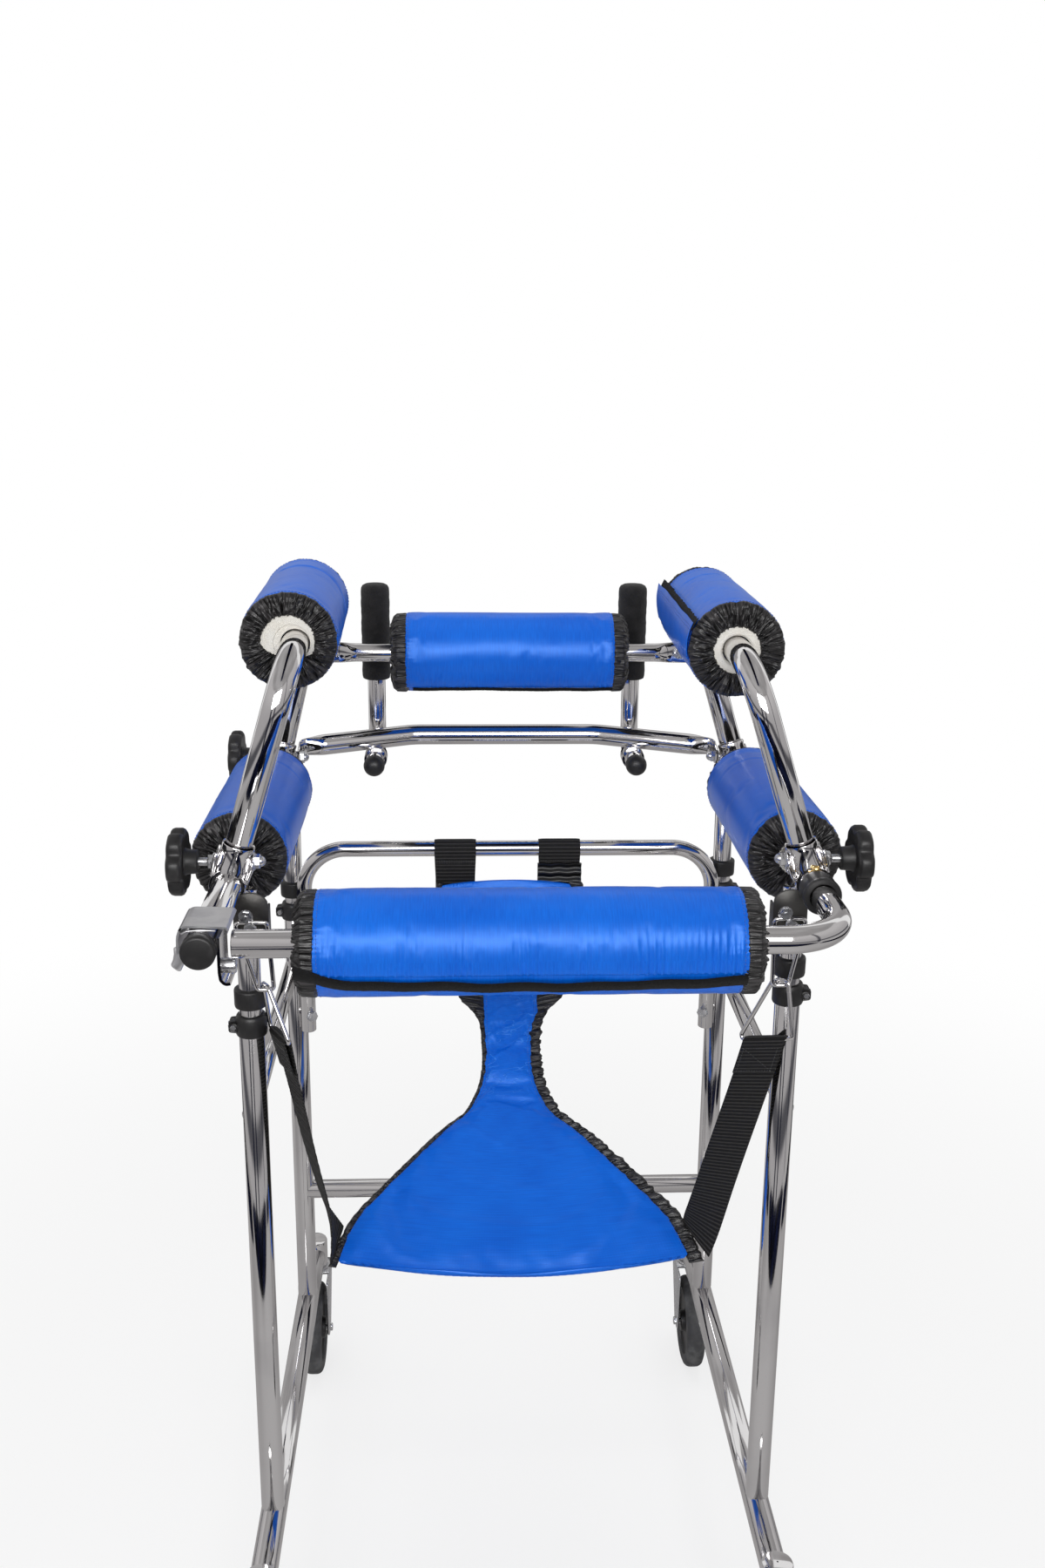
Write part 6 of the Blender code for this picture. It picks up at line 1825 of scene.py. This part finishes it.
def card(name, finish, centre, along, over):
    """A flat card that is only seen in what shines."""
    centre, along, over = Vector(centre), Vector(along) / 2, Vector(over) / 2
    points = [centre - along - over, centre + along - over, centre + along + over, centre - along + over]
    only_reflected(stage_mesh(name, points, finish))


def cards():
    """Black cards, as photographers edge bright tube with, and the soft box by the camera."""
    black = Finish("black_card", Roughness=1.0, Specular_IOR_Level=0.0)
    shade = black.cloud(1.2, 2.0).between(0.35, 0.75)
    black.set(Base_Color=black.mix(shade, (0.002, 0.002, 0.003), (0.010, 0.014, 0.05)))
    for name, centre, along, over in (
            ("card_floor", (0.0, -2.45, 0.012), (5.0, 0, 0), (0, 1.9, 0)),
            ("card_left_floor", (-2.3, 0.6, 0.012), (0.9, 0, 0), (0, 3.4, 0)),
            ("card_right_floor", (2.2, 0.3, 0.012), (0.7, 0, 0), (0, 3.0, 0)),
            ("card_back", (0.5, 3.4, 0.55), (4.5, 0, 0), (0, 0, 0.5)),
            ("card_ceiling", (0.0, 0.2, 3.55), (0.6, 0, 0), (0, 4.6, 0))):
        card(name, black, centre, along, over)
    bright = glow("soft_box")
    bright.set(Emission_Color=(1.0, 1.0, 1.0), Emission_Strength=8.0)
    card("soft_box", bright, (-0.25, -3.0, 2.15), (2.8, 0, 0), (0, 0.56, 1.24))


def surround():
    """The studio's walls as the chrome sees them: grey, with dark gaps and a dark band at half a metre."""
    wall = glow("studio_walls")
    place = wall.place()
    x, y, z = (wall.along(axis, place) for axis in "XYZ")
    bands = (x * 1.9 + 0.6).wave(2.6) * 0.55 + (y * 2.3 + x * 0.7).wave(3.1) * 0.45
    gap = bands.between(0.74, 0.88)
    level = (0.66 + z.between(0.9, 2.8) * 0.2) * (1 - gap * 0.92)
    level = level * (1 - z.between(0.25, 0.40) * (1 - z.between(0.62, 0.80)) * 0.80)
    wall.set(Emission_Color=wall.mix(level, (0.004, 0.006, 0.02), (0.72, 0.70, 0.70)), Emission_Strength=1.0)
    count, radius, low, tall = 48, 3.6, 0.0, 3.6
    points, faces = [], []
    for i in range(count + 1):
        angle = math.radians(150 + 240 * i / count)
        points += [(radius * math.cos(angle), radius * math.sin(angle), low),
                   (radius * math.cos(angle), radius * math.sin(angle), tall)]
        if i:
            faces.append((2 * i - 2, 2 * i, 2 * i + 1, 2 * i - 1))
    only_reflected(stage_mesh("studio_surround", points, wall, faces))


def grey_sheets():
    """Grey sheets above, below and behind, so that what shines is not white all over."""
    sheet = glow("studio_ceiling")
    drift = sheet.cloud(0.5, 1.0)
    sheet.set(Emission_Color=sheet.mix(drift.between(0.3, 0.7), (0.34, 0.33, 0.33), (0.52, 0.51, 0.51)),
              Emission_Strength=1.0)
    for name, centre, along, over in (("studio_ceiling", (0.0, -0.75, 3.61), (7.4, 0, 0), (0, 5.9, 0)),
                                      ("studio_ground", (0.0, 0.0, 0.006), (7.4, 0, 0), (0, 7.4, 0)),
                                      ("studio_far_wall", (0.0, 3.75, 1.8), (7.4, 0, 0), (0, 0, 3.6))):
        card(name, sheet, centre, along, over)


def pale_world():
    """White where it is seen or mirrored, and a plain grey light on everything else."""
    world = bpy.data.worlds.new("pale_studio")
    world.use_nodes = True
    tree = world.node_tree
    tree.nodes.clear()
    add = node_adder(tree)
    ray = add("ShaderNodeLightPath")
    seen = add("ShaderNodeMath", {0: ray["Is Camera Ray"], 1: ray["Is Glossy Ray"]}, operation="MAXIMUM")
    seen = add("ShaderNodeMath", {0: seen[0], 1: ray["Is Transmission Ray"]}, operation="MAXIMUM")
    level = add("ShaderNodeMapRange", {0: seen[0], 3: 0.42, 4: 1.0})
    back = add("ShaderNodeBackground", {0: (1.0, 1.0, 1.0, 1.0), 1: level[0]})
    add("ShaderNodeOutputWorld", {0: back[0]})
    return world


def pale_floor():
    """A matt floor that fades to white away from the object, for the camera and in what shines."""
    floor = Finish("floor", Base_Color=(0.96, 0.96, 0.96), Roughness=0.9, Specular_IOR_Level=0.2)
    ray = floor.node("ShaderNodeLightPath", output="Is Camera Ray")
    gloss = floor.node("ShaderNodeLightPath", output="Is Glossy Ray")
    far = floor.node("ShaderNodeVectorMath", [floor.place()], output="Value", operation="LENGTH")
    white = floor.node("ShaderNodeEmission", {"Color": (1.0, 1.0, 1.0), "Strength": 1.0})
    share = (0.74 + far.between(0.7, 2.2) * 0.26) * ray.math("MAXIMUM", ray, gloss)
    blend = floor.node("ShaderNodeMixShader", {0: share, 2: white})
    links = floor.tree.links
    links.new(floor.shader.outputs[0], blend.socket.node.inputs[1])
    links.new(blend.socket, floor.tree.nodes["Material Output"].inputs["Surface"])
    stage_mesh("floor", [(-7, -7, 0), (7, -7, 0), (7, 7, 0), (-7, 7, 0)], floor)


def studio():
    bpy.context.scene.view_settings.view_transform = "Standard"
    bpy.context.scene.world = pale_world()
    pale_floor()
    for name, place, size, energy in (("key_light", (-0.25, -3.0, 2.15), (2.4, 0.50), 46.0),
                                      ("top_light", (0.0, 0.4, 3.2), (2.4, 1.6), 22.0)):
        lamp = bpy.data.lights.new(name, "AREA")
        lamp.shape = "RECTANGLE"
        lamp.size, lamp.size_y = size
        lamp.energy = energy
        holder = placed(name, lamp)
        holder.location = place
        aim = Vector((0, 0, 0.8)) - Vector(place)
        holder.rotation_euler = aim.to_track_quat("-Z", "Y").to_euler()
        holder.visible_glossy = False
    cards()
    surround()
    grey_sheets()


rails()
gate_bar()
arm_loops()
clamps()
star_knobs()
chest_bar()
crossbar()
handles()
strap_bar()
posts()
brackets()
bails_and_rings()
latch()
base()
castors()
rolls()
sling()
web_loops()
straps()
hang_straps()
sewn_covers()
sewn_flap()
sewn_sling()
sewn_webbing()
camera()
studio()
